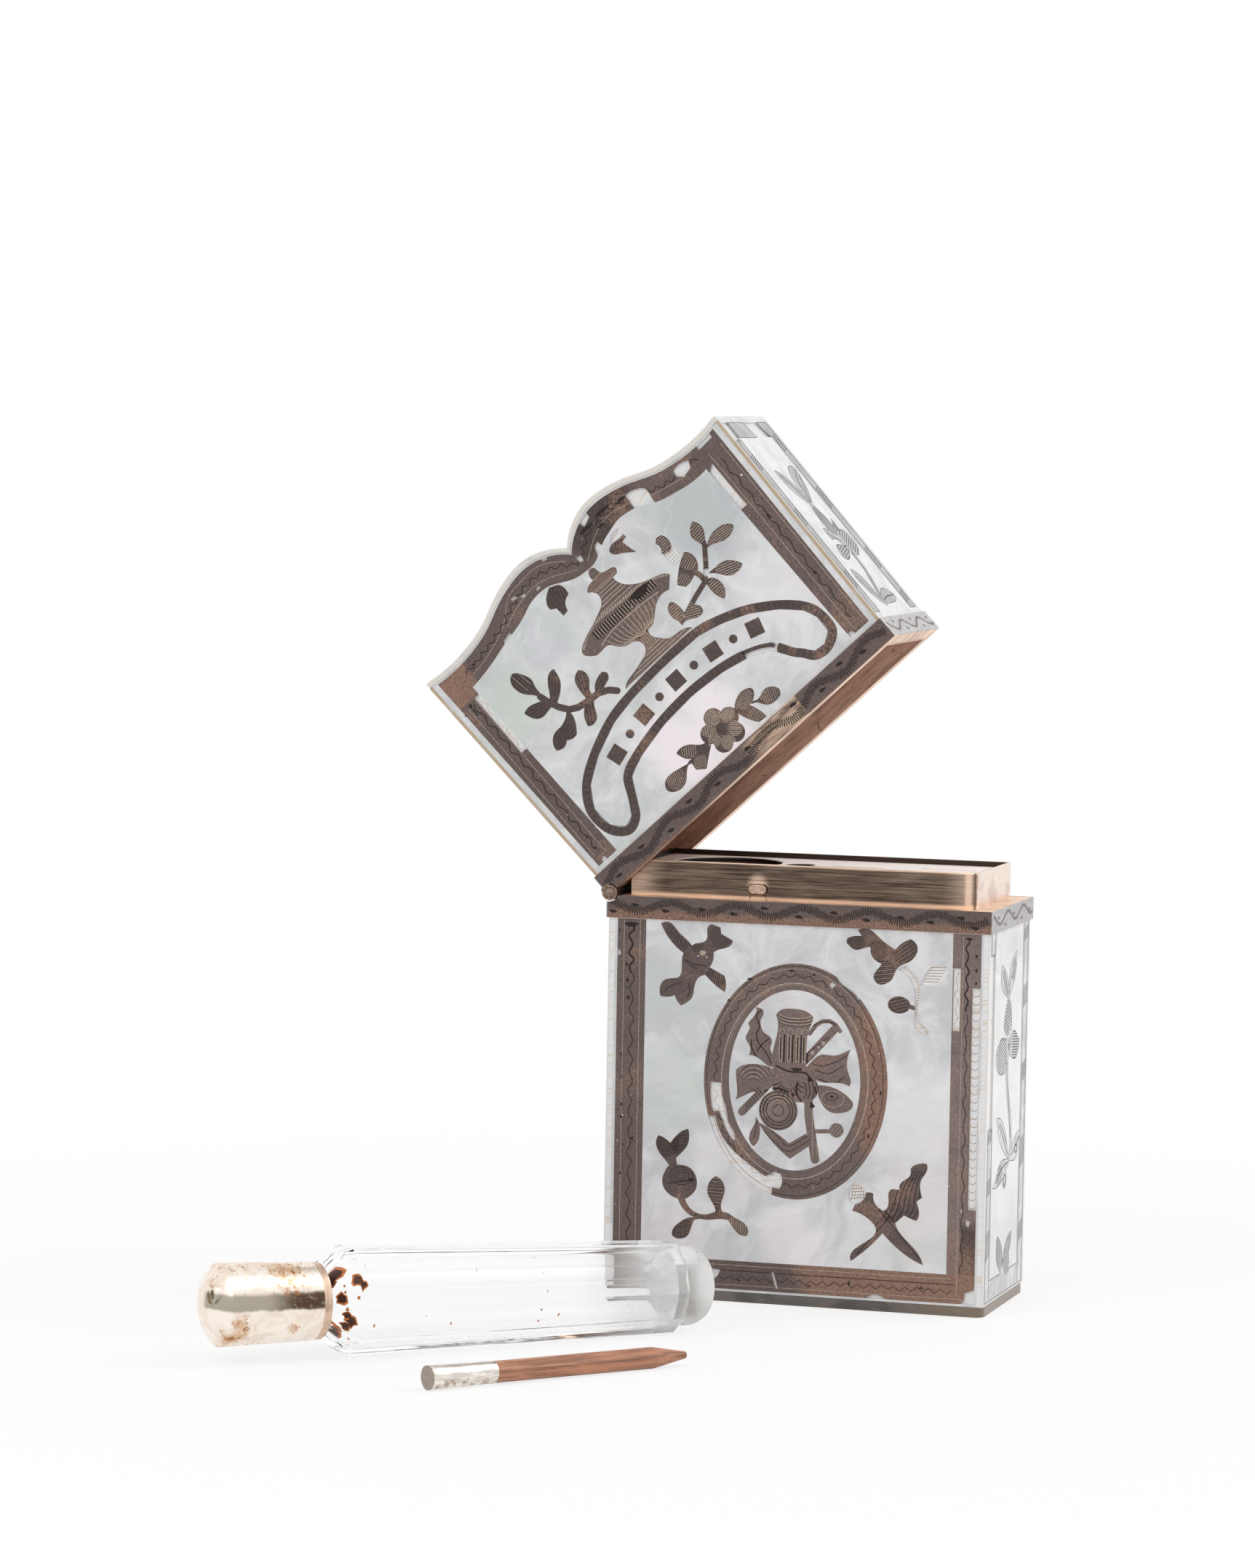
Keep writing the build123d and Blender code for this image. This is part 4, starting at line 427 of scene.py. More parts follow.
def rim_finish(name, view, low_edge, red_share, patch=None):
    """Rim metal: tarnished like the inlays, with a reddish lower edge and a rubbed gilt ledge."""
    c = colours()
    f = Finish(name)
    place = f.millimetres(view)
    x, y, z = f.parts(place)
    broad = f.noise(place, 0.20, 3.0, 0.9)
    grain = f.noise(place, 3.4, 6.0, 0.4, 0.7)
    streaks = f.noise(f.stretch(place, (0.10, 1.0, 1.0)), 1.9, 4.0, 0.6)
    skirt = (abs(y) - 11.35).between(0.0, 0.05)
    side = (abs(x) - 24.85).between(0.0, 0.05)
    colour = f.mix(grain.between(0.3, 0.7), shade(c.tarnish, 1.0), shade(c.tarnish, 1.6))
    low = (low_edge - z).between(0.0, 1.6)
    red = f.mix(grain.between(0.3, 0.7), shade(c.copper, 0.50), shade(c.copper, 1.20))
    colour = f.mix((low * 0.9 + 0.9 * broad - 0.45).between(0.15, 0.7) * red_share, colour, red)
    if patch:
        left, right = patch
        worn = (x - left).between(0.0, 2.5) * (right - x).between(0.0, 0.12)
        gold = f.mix(streaks.between(0.38, 0.6), shade(c.soot_and_shade, 2.2), shade(c.gilt, 0.75))
        colour = f.mix(worn * (broad + 0.15).between(0.42, 0.66), colour, gold)
    pale = f.mix(streaks.between(0.3, 0.7), shade(c.bright, 0.62), shade(c.bright, 0.88))
    colour = f.mix(side * 0.9, colour, pale)
    ledge = f.mix(streaks.between(0.30, 0.60), shade(c.gilt, 0.70), shade(c.gilt, 1.50))
    colour = f.mix((1.0 - skirt) * (1.0 - side), colour, ledge)
    return f.surface(
        Base_Color=colour, Roughness=0.36 + 0.2 * grain, Metallic=0.85,
        Normal=f.bump(grain, 0.00003, 0.45),
    )


def gilt_finish(name, view, light, dark, along, rough=0.2, metal=1.0, tone=None, top=None):
    """Gilt sheet metal, drawn in fine lines along its length and sooted between them; below its top, where
    one is given, painted dark as painted shade.
    """
    c = colours()
    gilt = shade(tone or c.gilt, light)
    f = Finish(name)
    place = f.millimetres(view)
    lines = f.noise(f.stretch(place, along), 2.6, 5.0, 0.15, 0.62)
    broad = f.noise(f.stretch(place, (0.35, 1.0, 1.0)), 0.28, 3.0, 0.8)
    spots = f.noise(place, 0.9, 3.0, 0.3)
    colour = f.mix((lines * 0.62 + broad * 0.38).between(0.36, 0.66), c.soot_and_shade, gilt)
    colour = f.mix(1.0 - dark, colour, gilt)
    colour = f.mix(spots.between(0.66, 0.74) * 0.6, colour, shade(c.soot_and_shade, 0.8))
    # Painted shade: dark below the given top, where the piece sinks into a gap.
    if top is not None:
        colour = f.mix(f.parts(place)[2].between(top - 0.05, top - 0.12), colour, shade(c.soot_and_shade, 0.3))
    return f.surface(
        Base_Color=colour, Roughness=rough + 0.22 * lines, Metallic=metal,
        Normal=f.bump(lines, 0.00003, 0.45),
    )


def collar_finish(name):
    """Dark drawn lines on the long sides as a painted reflection; gold painted highlights at their ends,
    foot, top, right corner and catch; pale narrow ends as painted light; painted shade on the remaining
    faces.
    """
    c = colours()
    f = Finish(name)
    place = f.millimetres()
    x, y, z = f.parts(place)
    lines = f.noise(f.stretch(place, (0.035, 1.0, 1.8)), 3.6, 6.0, 0.25, 0.7)
    broad = f.noise(f.stretch(place, (0.25, 1.0, 1.0)), 0.35, 3.0, 0.8)
    # These are painted highlights: gold along both ends, the foot and the top edge.
    worn = abs(x).between(17.5, 22.4) * 0.5 + z.between(51.35, 50.95) * 0.8
    worn = worn + (z - 55.0).between(0.0, 0.2) * 0.6
    # Painted highlight over the catch's nub.
    catch_highlight = f.near(place, (-5.9, -9.0, 52.7), 0.4, 1.7) * 0.75
    # The right corner is painted as if rounded: a painted highlight just before it, then a painted shade
    # line.
    rounded = x.between(20.6, 21.1) * x.between(21.8, 21.5)
    # Painted reflection: the long sides' drawn lines are painted dark, as a reflection of the darker
    # surroundings.
    colour = f.mix((0.7 * lines + 0.3 * broad).between(0.36, 0.66), shade(c.soot_and_shade, 0.6), shade(c.gilt, 0.36))
    colour = f.mix((worn + catch_highlight) * lines.between(0.2, 0.55), colour, shade(c.gilt, 1.25))
    colour = f.mix(rounded * 0.8, colour, shade(c.gilt, 1.3))
    # The painted shade line of that corner.
    colour = f.mix(x.between(21.8, 22.05) * x.between(22.3, 22.2) * 0.75, colour, c.soot_and_shade)
    # The narrow ends are painted pale as painted light, where they face the light; the reddish patches on
    # them are the metal's own.
    pale = f.mix(lines.between(0.35, 0.6), shade(c.gilt, 1.25), (0.96, 0.87, 0.80))
    pale = f.mix(broad.between(0.50, 0.64) * 0.5, pale, (0.60, 0.40, 0.30))
    colour = f.mix((abs(x) - 22.35).between(0.0, 0.1), colour, pale)
    # Painted shade: every face but the long sides and the right end is darkened, that is the top's inner
    # part, the inner faces and the left end.
    colour = f.mix(abs(y).between(8.85, 8.75) * x.between(22.3, 22.2), colour, shade(c.soot_and_shade, 0.7))
    return f.surface(
        Base_Color=colour, Roughness=0.20 + 0.22 * lines, Metallic=1.0, Normal=f.bump(lines, 0.00003, 0.5),
    )


def cap_finish(name):
    """Polished gilt silver of the bottle's cap, with golden brown stains, fine turning lines and a painted
    reflection: a dark band along its middle.
    """
    f = Finish(name)
    place = f.millimetres(bottle_view)
    across, level, along = f.parts(place)
    turned = f.noise(f.stretch(place, (0.02, 0.02, 1.0)), 7.0, 3.0, 0.0)
    clouds = f.noise(place, 0.45, 4.0, 0.6, 0.6)
    spots = f.noise(place, 1.3, 4.0, 0.5, 0.65)
    colour = f.mix(clouds.between(0.40, 0.62), (0.97, 0.88, 0.79), (0.88, 0.76, 0.65))
    # Painted reflection: a dark olive band along the middle of one side of the cap, darkest in spots towards
    # the neck.
    uneven = level + 0.8 * clouds
    band = uneven.between(2.5, 1.9) * uneven.between(0.1, 0.5) * across.between(0.0, 1.0)
    colour = f.mix(band * 0.85, colour, (0.33, 0.30, 0.23))
    colour = f.mix(band * along.between(60.5, 56.0) * spots.between(0.2, 0.5), colour, (0.10, 0.06, 0.04))
    edge = abs(level).between(3.7, 4.8) * 0.6
    for centre, inner, outer in (((3.2, 3.6, 57.0), 0.3, 4.0), ((4.6, -1.2, 63.6), 0.1, 1.6),
                                 ((4.0, -3.0, 63.0), 0.2, 2.4), ((3.2, -3.8, 64.5), 0.1, 2.0),
                                 ((4.2, -2.6, 56.4), 0.1, 1.5), ((1.5, 3.6, 67.3), 0.3, 3.4)):
        edge = edge + f.near(place, centre, inner, outer)
    patchy = (edge * 0.6 + 1.6 * spots - 0.8).between(0.15, 0.75)
    colour = f.mix(patchy * 0.8, colour, (0.62, 0.36, 0.17))
    colour = f.mix(patchy * spots.between(0.56, 0.66), colour, (0.35, 0.14, 0.05))
    return f.surface(
        Base_Color=colour, Roughness=0.15 + 0.10 * spots + 0.04 * turned, Metallic=1.0,
        Normal=f.bump(turned + 0.3 * spots, 0.00002, 0.12),
    )


def glass_finish(name):
    """Clear old glass, slightly uneven, with a rubbed foot, and towards the foot a share of painted white
    that stands in for the white floor seen through the glass.
    """
    f = Finish(name)
    place = f.millimetres(bottle_view)
    _, level, along = f.parts(place)
    waves = f.noise(f.stretch(place, (1.0, 1.0, 0.12)), 0.6, 2.0, 0.3)
    rubbing = f.noise(f.stretch(place, (1.0, 1.0, 0.2)), 2.0, 3.0, 0.3)
    foot = along.between(4.5, 4.0)
    colour = f.mix(foot, (0.995, 0.995, 0.995), (0.95, 0.94, 0.93))
    colour = f.mix(foot * level.between(-0.5, -1.5), colour, (0.84, 0.83, 0.81))
    clear = f.node("ShaderNodeBsdfPrincipled", {}, {
        "Base Color": colour, "Roughness": foot * (0.24 + 0.12 * rubbing), "IOR": 1.17,
        "Transmission Weight": 1.0, "Normal": f.bump(waves, 0.0001, 0.25),
    })
    # Painted white: a white diffuse share, strongest towards the foot, that stands in for the white floor
    # seen through the glass.
    cloudy = f.node("ShaderNodeBsdfDiffuse", {}, {"Color": (0.92, 0.92, 0.91)})
    return f.mixed_surface(along.between(16.0, 5.0) * (0.25 + 0.15 * rubbing), clear, cloudy)


def horn_finish(name):
    """Dark polished horn, paler and brownish towards the right-hand end."""
    c = colours()
    f = Finish(name)
    place = f.millimetres()
    x, _, _ = f.parts(place)
    clouds = f.noise(f.stretch(place, (0.5, 1.0, 1.0)), 0.25, 4.0, 1.0)
    fibres = f.noise(f.stretch(place, (0.08, 1.0, 1.0)), 3.0, 4.0, 0.2)
    pale = ((x - 12.0) * 0.07 + clouds - 0.5).between(0.0, 0.9)
    colour = f.mix(clouds.between(0.35, 0.65), shade(c.horn, 0.85), shade(c.horn, 1.7))
    colour = f.mix(pale, colour, (0.22, 0.165, 0.115))
    colour = f.mix(fibres.between(0.6, 0.75) * 0.35, colour, (0.35, 0.25, 0.16))
    return f.surface(
        Base_Color=colour, Roughness=0.26 + 0.15 * fibres, Coat_Weight=0.15, Coat_Roughness=0.12,
        Normal=f.bump(fibres, 0.00003, 0.3),
    )


def wood_finish(name, view, tone, gloss=0.45):
    """Fine-grained wood with pores along its length."""
    f = Finish(name)
    place = f.millimetres(view)
    grain = f.noise(f.stretch(place, (1.0, 1.0, 0.07)), 1.6, 5.0, 0.5, 0.6)
    pores = f.noise(f.stretch(place, (1.0, 1.0, 0.07)), 6.0, 2.0, 0.1)
    colour = f.mix(grain.between(0.34, 0.66), shade(tone, 0.62), shade(tone, 1.45))
    colour = f.mix(pores.between(0.60, 0.70) * 0.5, colour, shade(tone, 0.42))
    return f.surface(
        Base_Color=colour, Roughness=gloss + 0.2 * pores,
        Normal=f.bump(grain - 0.6 * pores, 0.00006, 0.5),
    )


def ferrule_finish(name):
    """Satin silver of the stick's ferrule, drawn along its length, with warm brown spots, more of them
    towards its underside.
    """
    f = Finish(name)
    place = f.millimetres(stick_view)
    _, level, along = f.parts(place)
    lines = f.noise(f.stretch(place, (1.0, 1.0, 0.15)), 3.0, 4.0, 0.2)
    spots = f.noise(place, 1.3, 3.0, 0.4)
    colour = f.mix(lines.between(0.35, 0.65), (0.66, 0.60, 0.54), (0.92, 0.87, 0.81))
    # Warm brown spots, gathering towards the underside.
    colour = f.mix((spots - 0.08 * level).between(0.56, 0.72) * 0.7, colour, (0.34, 0.22, 0.13))
    colour = f.mix(along.between(0.2, 0.1) * 0.8, colour, (0.24, 0.18, 0.14))
    return f.surface(Base_Color=colour, Roughness=0.25 + 0.15 * lines, Metallic=1.0,
                     Normal=f.bump(lines, 0.00003, 0.2))


def cut_finish(name, colour, roughness=0.6, metal=0.0):
    """The bottom of an engraved line."""
    f = Finish(name)
    grain = f.noise(f.millimetres(), 5.0, 3.0, 0.2)
    tone = f.mix(grain.between(0.35, 0.65), shade(colour, 0.7), shade(colour, 1.3))
    return f.surface(Base_Color=tone, Roughness=roughness, Metallic=metal, Specular_IOR_Level=0.2)


# Engraving

class Face:
    """A flat face that carries ornament. Across and up are in millimetres from its lower left corner."""

    def __init__(self, body, corner, across, out, up, silver, turn=None):
        self.body = body
        self.turn = turn or Matrix.Identity(4)
        self.corner = Vector(corner)
        self.across = Vector(across)
        self.out = Vector(out)
        self.up = Vector(up)
        points, triangles = [], []
        for name in silver:
            mesh = nodes[name].data
            mesh.calc_loop_triangles()
            base = len(points)
            points.extend(v.co.copy() for v in mesh.vertices)
            triangles.extend(tuple(base + i for i in t.vertices) for t in mesh.loop_triangles)
        self.tree = BVHTree.FromPolygons(points, triangles)
        self.way_in = -(self.turn.to_3x3() @ self.out)

    def point(self, across, up, lift):
        """A place on the face in metres, as far in front of it as the lift."""
        place = self.corner + self.across * (across * MM) + self.up * (up * MM) + self.out * lift
        return self.turn @ place

    def has_metal(self, across, up):
        """Whether silver lies flush with the face at a place."""
        start = self.point(across, up, PROBE_LIFT)
        hit = self.tree.ray_cast(start, self.way_in, PROBE_REACH)
        return hit[0] is not None and abs(hit[3] - PROBE_LIFT) < PROBE_SLACK


def walk(path, step):
    """Points at even steps along a path, each with its direction."""
    spots = []
    left = 0.0
    for start, end in zip(path, path[1:]):
        length = math.hypot(end[0] - start[0], end[1] - start[1])
        if length == 0:
            continue
        du, dv = (end[0] - start[0]) / length, (end[1] - start[1]) / length
        s = left
        while s <= length:
            spots.append((start[0] + du * s, start[1] + dv * s, du, dv))
            s += step
        left = s - length
    return spots


def smooth(points, count=5):
    """A curve through points, as more points."""
    if len(points) < 3:
        return list(points)
    closed = points[0] == points[-1]
    run = [points[-2] if closed else points[0], *points, points[1] if closed else points[-1]]
    made = []
    for a, b, c, d in zip(run, run[1:], run[2:], run[3:]):
        for i in range(count):
            t = i / count
            made.append(tuple(
                0.5 * (2 * b[k] + (c[k] - a[k]) * t + (2 * a[k] - 5 * b[k] + 4 * c[k] - d[k]) * t * t
                       + (3 * b[k] - a[k] - 3 * c[k] + d[k]) * t ** 3)
                for k in (0, 1)))
    made.append(points[-1])
    return made


def oval(centre, across, up, start=0.0, end=360.0, count=72):
    """Points along an oval."""
    return [
        (centre[0] + across * math.cos(math.radians(start + (end - start) * i / count)),
         centre[1] + up * math.sin(math.radians(start + (end - start) * i / count)))
        for i in range(count + 1)
    ]


class Engraving:
    """Cuts on one face, gathered into one mesh."""

    def __init__(self, face, clip=True, depth=0.0, weight=1.0):
        self.face = face
        self.clip = clip
        self.depth = depth
        self.weight = weight
        self.points = []
        self.faces = []

    def strip(self, line, width):
        """One cut along a line of points, fine at both ends."""
        if len(line) < 2:
            return
        lift = sizes().cut_lift - self.depth
        base = len(self.points)
        last = len(line) - 1
        for i, (u, v) in enumerate(line):
            before, after = line[max(i - 1, 0)], line[min(i + 1, last)]
            du, dv = after[0] - before[0], after[1] - before[1]
            length = math.hypot(du, dv) or 1.0
            half = self.weight * width / 2 * (0.35 if i in (0, last) else 1.0)
            side = (-dv / length * half, du / length * half)
            self.points.append(self.face.point(u + side[0], v + side[1], lift))
            self.points.append(self.face.point(u - side[0], v - side[1], lift))
        for i in range(last):
            a = base + 2 * i
            self.faces.append((a, a + 1, a + 3, a + 2))

    def line(self, *points, width=None):
        """A cut through points, kept where the face has metal."""
        width = width or sizes().cut_width / MM
        run = []
        for start, end in zip(points, points[1:]):
            length = math.hypot(end[0] - start[0], end[1] - start[1])
            count = max(1, round(length / CUT_STEP))
            for i in range(count + 1):
                share = i / count
                place = (start[0] + (end[0] - start[0]) * share, start[1] + (end[1] - start[1]) * share)
                if run and place == run[-1]:
                    continue
                if not self.clip or self.face.has_metal(*place):
                    run.append(place)
                else:
                    self.strip(run, width)
                    run = []
        self.strip(run, width)

    def lines(self, width, *paths):
        """Several curved cuts of one width."""
        for path in paths:
            self.line(*smooth(path), width=width)

    def arc(self, centre, across, up, start, end, width=None):
        """A cut along part of an oval."""
        self.line(*oval(centre, across, up, start, end, max(6, int(abs(end - start) / 6))), width=width)

    def hatches(self, *patches):
        """Round patches filled with parallel cuts: centre, reach, angle, pitch and width of each."""
        for across, up, reach, angle, pitch, width in patches:
            du, dv = math.cos(math.radians(angle)), math.sin(math.radians(angle))
            count = int(reach / pitch)
            for k in range(-count, count + 1):
                offset = k * pitch
                half = math.sqrt(max(reach * reach - offset * offset, 0))
                run = [half * (i / 2 - 1) for i in range(5)]
                path = [(across + du * s - dv * offset, up + dv * s + du * offset) for s in run]
                self.line(*path, width=width)

    def ticks(self, path, pitch, height, lean=90.0, width=None):
        """Short cuts across a path, leaning by an angle to it."""
        turn = math.radians(lean)
        for u, v, du, dv in walk(smooth(path), pitch):
            a = du * math.cos(turn) - dv * math.sin(turn)
            b = du * math.sin(turn) + dv * math.cos(turn)
            self.line((u - a * height / 2, v - b * height / 2), (u + a * height / 2, v + b * height / 2),
                      width=width)

    def zigzag(self, path, height, pitch, width=None, wild=0.4):
        """A zigzag along a path."""
        turned = []
        for i, (u, v, du, dv) in enumerate(walk(path, pitch / 2)):
            side = height / 2 * (1 if i % 2 else -1) * (1.0 - wild / 2 + wild * ((i * 37) % 11) / 10)
            turned.append((u - dv * side, v + du * side))
        self.line(*turned, width=width)

    def wave(self, start, end, height, period, width=None):
        """A wavy cut along a straight run."""
        spots = []
        for i, (u, v, du, dv) in enumerate(walk([start, end], period / 10)):
            side = height / 2 * math.sin(2 * math.pi * i / 10) * (0.8 + 0.3 * math.sin(i * 0.37))
            spots.append((u - dv * side, v + du * side))
        self.line(*spots, width=width)

    def spots(self, rows, tilt=0.0):
        """Ragged blots, given by their centres, widths and heights."""
        turn = math.radians(tilt)
        lift = sizes().cut_lift * 1.5 - self.depth
        for n, (across, up, wide, high) in enumerate(rows):
            if self.clip and not self.face.has_metal(across, up):
                continue
            base = len(self.points)
            for i in range(BLOT_CORNERS):
                angle = 2 * math.pi * i / BLOT_CORNERS
                ragged = 0.5 * (0.92 + 0.12 * math.sin(3 * angle + n) + 0.07 * math.sin(5 * angle + 2.3 * n))
                a, b = wide * ragged * math.cos(angle), high * ragged * math.sin(angle)
                self.points.append(self.face.point(across + a * math.cos(turn) - b * math.sin(turn),
                                                   up + a * math.sin(turn) + b * math.cos(turn), lift))
            self.faces.append(tuple(range(base, base + BLOT_CORNERS)))

    def make(self, name, material, slot):
        """The cuts as a piece, where there are any."""
        if self.faces:
            return build(name, self.face.body, self.points, self.faces, material)


def case_face(body, side, silver, side_x, wall_y, lean=0.0):
    """A face of the body or the lid, by its distance from the middle. The narrow sides may lean out."""
    half_x, half_y = case_width / 2, case_depth / 2
    c, s = math.cos(lean), math.sin(lean)
    corner, across, out, up = {
        "front": ((-half_x, -wall_y, 0), (1, 0, 0), (0, -1, 0), (0, 0, 1)),
        "back": ((half_x, wall_y, 0), (-1, 0, 0), (0, 1, 0), (0, 0, 1)),
        "right": ((side_x, -half_y, 0), (0, 1, 0), (c, 0, -s), (s, 0, c)),
        "left": ((-side_x, half_y, 0), (0, -1, 0), (-c, 0, -s), (-s, 0, c)),
    }[side]
    if body == "case":
        return Face(body, corner, across, out, up, silver)
    return Face(body, Vector(corner) + Vector((0, 0, joint_height)), across, out, up, silver, lid_to_rest)


def body_face(side, silver):
    return case_face("case", side, silver, face_x, face_y)


def lid_face(side, silver):
    return case_face("lid", side, silver, lid_side_x, face_y, lid_lean)


def rim_face(body, side, silver):
    """The outer face of a rim, which stands a sheet's thickness proud of the plaques."""
    return case_face(body, side, silver, case_width / 2, case_depth / 2)


def engrave_rim(cuts, length, middle, trough, ovals):
    """A rocked zigzag along a wave, or a plain cut on the narrow sides, with ovals above and below it."""
    period, pitch = sizes().wave_length / MM, sizes().rocker_pitch / MM
    wave = []
    for i in range(int((length - 0.9) / 0.25) + 1):
        u = 0.45 + 0.25 * i
        wave.append((u, middle - 0.66 * math.cos(2 * math.pi * (u - trough) / period)))
    if length > 30:
        cuts.zigzag(wave, 1.1, pitch, 0.085, 0.3)
    else:
        cuts.line(*wave, width=0.42)
    cuts.spots([(u, v, 1.1, 0.46) for u, v in ovals], -8)


def engrave_body_front(dark, pale, copper, pitch):
    """The body's front: ruled and waved borders, the medallion with its trophies, sprays and torches."""
    pale.lines(0.05, [(2.35, 2.6), (2.35, 47.8)], [(4.45, 4.3), (4.45, 47.8)],
               [(46.3, 2.6), (46.3, 47.6)], [(2.6, 2.15), (47.8, 2.15)], [(4.6, 4.65), (45.6, 4.65)])
    dark.wave((3.3, 47.2), (3.3, 41.0), 0.7, 2.0, 0.17)
    dark.wave((3.45, 41.0), (3.45, 5.0), 0.6, 2.6, 0.08)
    dark.wave((46.85, 47.5), (46.85, 38.0), 0.45, 1.9, 0.13)
    dark.wave((46.85, 38.0), (46.85, 5.0), 0.4, 3.0, 0.07)
    dark.lines(0.07, [(4.5, 3.95), (46.0, 3.95)])
    dark.zigzag([(4.0, 3.05), (46.5, 3.05)], 0.55, pitch * 0.95, 0.06)
    dark.spots([
        (3.3, 47.2, 1.9, 0.7), (1.7, 46.4, 0.15, 0.5), (2.75, 42.15, 0.35, 0.5), (2.85, 40.1, 0.4, 0.6),
        (2.8, 39.2, 0.3, 0.3), (3.0, 37.9, 0.45, 0.5), (2.2, 30.7, 0.28, 0.35), (2.25, 27.8, 0.25, 0.3),
        (2.35, 24.3, 0.3, 0.45), (2.3, 22.7, 0.3, 0.5), (2.6, 19.2, 0.35, 0.2), (3.8, 20.0, 0.35, 0.5),
        (2.3, 15.5, 0.25, 0.4), (48.0, 45.2, 0.35, 0.45), (48.0, 43.4, 0.35, 0.45), (48.0, 41.8, 0.35, 0.4),
        (47.0, 47.3, 1.0, 0.3), (32.5, 3.3, 0.3, 0.65), (9.4, 3.4, 0.5, 0.25), (18.2, 2.8, 0.6, 0.2),
        (27.3, 2.6, 0.8, 0.2), (41.8, 3.3, 0.5, 0.3), (16.2, 38.2, 0.4, 0.3), (18.9, 41.0, 0.7, 0.3),
        (24.3, 42.3, 0.9, 0.25), (27.2, 41.9, 0.5, 0.25), (34.6, 22.0, 0.3, 0.6), (36.1, 27.5, 0.25, 0.7),
    ])
    dark.zigzag(oval(MEDALLION, 10.4, 13.3), 0.5, pitch * 1.06, 0.07)
    pale.line(*oval(MEDALLION, 9.5, 12.35), width=0.09)
    dark.line(*oval(MEDALLION, 11.45, 14.5), width=0.05)
    for radius in (9.2, 11.2):
        pale.line(*oval(MEDALLION, radius, radius + 2.95, 20, 160), width=0.04)

    # The heap of trophies in the medallion
    for k in range(3):
        pale.arc((24.95, 36.9 - 0.4 * k), 2.2, 0.6, 190, 350, 0.07)
        dark.arc((24.95, 36.75 - 0.4 * k), 2.2, 0.6, 190, 350, 0.05)
    for u in (23.2, 24.3, 25.4, 26.2):
        pale.arc((u, 34.5), 0.36, 0.5, 0, 360, 0.06)
        pale.lines(0.09, [(u - 0.28, 34.2), (u - 0.3, 30.7)], [(u + 0.05, 34.0), (u, 30.7)])
        dark.lines(0.13, [(u + 0.34, 34.3), (u + 0.3, 30.7)], [(u - 0.12, 34.0), (u - 0.14, 31.0)])
    dark.lines(
        0.10, [(20.6, 37.2), (19.8, 36.4), (20.3, 35.2), (19.9, 34.2), (20.2, 33.0), (21.2, 31.8),
               (21.9, 30.4)], [(21.6, 33.6), (20.8, 33.0), (20.0, 32.0)],
        [(20.9, 35.6), (21.3, 34.6), (20.9, 33.9)], [(19.2, 33.4), (19.4, 32.1), (20.3, 30.8)],
    )
    dark.lines(0.07, [(26.6, 34.9), (27.6, 35.7), (28.6, 36.1), (29.6, 36.0), (30.3, 35.6)])
    pale.spots([(27.2, 32.1, 0.55, 0.55), (28.0, 32.85, 0.4, 0.4), (28.6, 33.4, 0.55, 0.55)], 40)
    dark.lines(0.06, [(26.4, 31.9), (29.4, 34.3)], [(27.0, 31.3), (30.0, 33.7)])
    copper.ticks([(26.5, 31.5), (28.4, 31.2), (30.4, 31.9), (31.9, 32.7)], 0.2, 0.75, 70, 0.06)
    dark.lines(0.07, [(26.5, 31.0), (28.3, 30.5), (30.5, 31.2), (31.9, 32.2)],
               [(27.4, 30.0), (29.4, 29.6), (31.4, 30.8)], [(28.0, 28.9), (30.0, 28.4), (31.6, 29.4)])
    for k in range(5):
        pale.arc((19.6, 28.2), 0.7 + 0.5 * k, 0.5 + 0.55 * k, 20, 160, 0.06)
        dark.arc((19.6, 28.0), 0.7 + 0.5 * k, 0.5 + 0.55 * k, 20, 160, 0.05)
    for radius in (2.3, 1.9, 1.5, 0.7):
        dark.arc((22.9, 24.6), radius, radius, 0, 360, 0.07)
        pale.arc((22.9, 24.6), radius - 0.12, radius - 0.12, 30, 210, 0.05)
    pale.hatches((22.9, 24.6, 1.4, 35, 0.28, 0.035))
    for k in range(9):
        du, dv = math.cos(math.radians(200 + 17 * k)), math.sin(math.radians(200 + 17 * k))
        dark.line((24.2 + du, 28.5 + dv), (24.2 + 2.3 * du, 28.5 + 2.3 * dv), width=0.08)
    for k in range(4):
        dark.arc((26.0 + 0.5 * k, 27.3), 0.5, 1.1, -70, 70, 0.07)
    pale.arc((29.9, 26.4), 1.5, 1.0, 0, 360, 0.05)
    dark.arc((29.8, 26.7), 0.75, 0.5, 0, 360, 0.06)
    dark.spots([(29.8, 26.7, 0.5, 0.35)])
    pale.hatches((30.5, 22.5, 1.4, 55, 0.4, 0.04))
    pale.lines(0.05, [(27.3, 25.0), (27.5, 18.7)], [(27.9, 24.4), (28.0, 19.4)])
    dark.lines(0.06, [(20.8, 22.2), (22.6, 20.5), (24.4, 19.5), (27.2, 21.2)], [(20.2, 23.2), (19.8, 20.7)],
               [(21.4, 22.7), (23.0, 21.2), (24.4, 20.2), (26.8, 21.6)])
    dark.hatches((20.0, 25.6, 1.7, 135, 0.42, 0.06))
    dark.lines(0.14, [(22.4, 30.3), (24.2, 29.6), (26.3, 29.5), (27.4, 28.4)],
               [(25.4, 28.4), (25.2, 27.0), (25.9, 25.9)], [(27.6, 27.9), (27.8, 26.4), (27.0, 25.6)],
               [(21.0, 26.9), (22.6, 27.4), (24.2, 26.9)])
    dark.spots([(25.2, 29.9, 1.6, 0.4), (26.9, 28.7, 0.6, 0.7), (27.3, 25.4, 0.7, 0.6),
                (24.8, 26.7, 0.5, 0.4), (28.6, 21.4, 0.5, 0.4)])

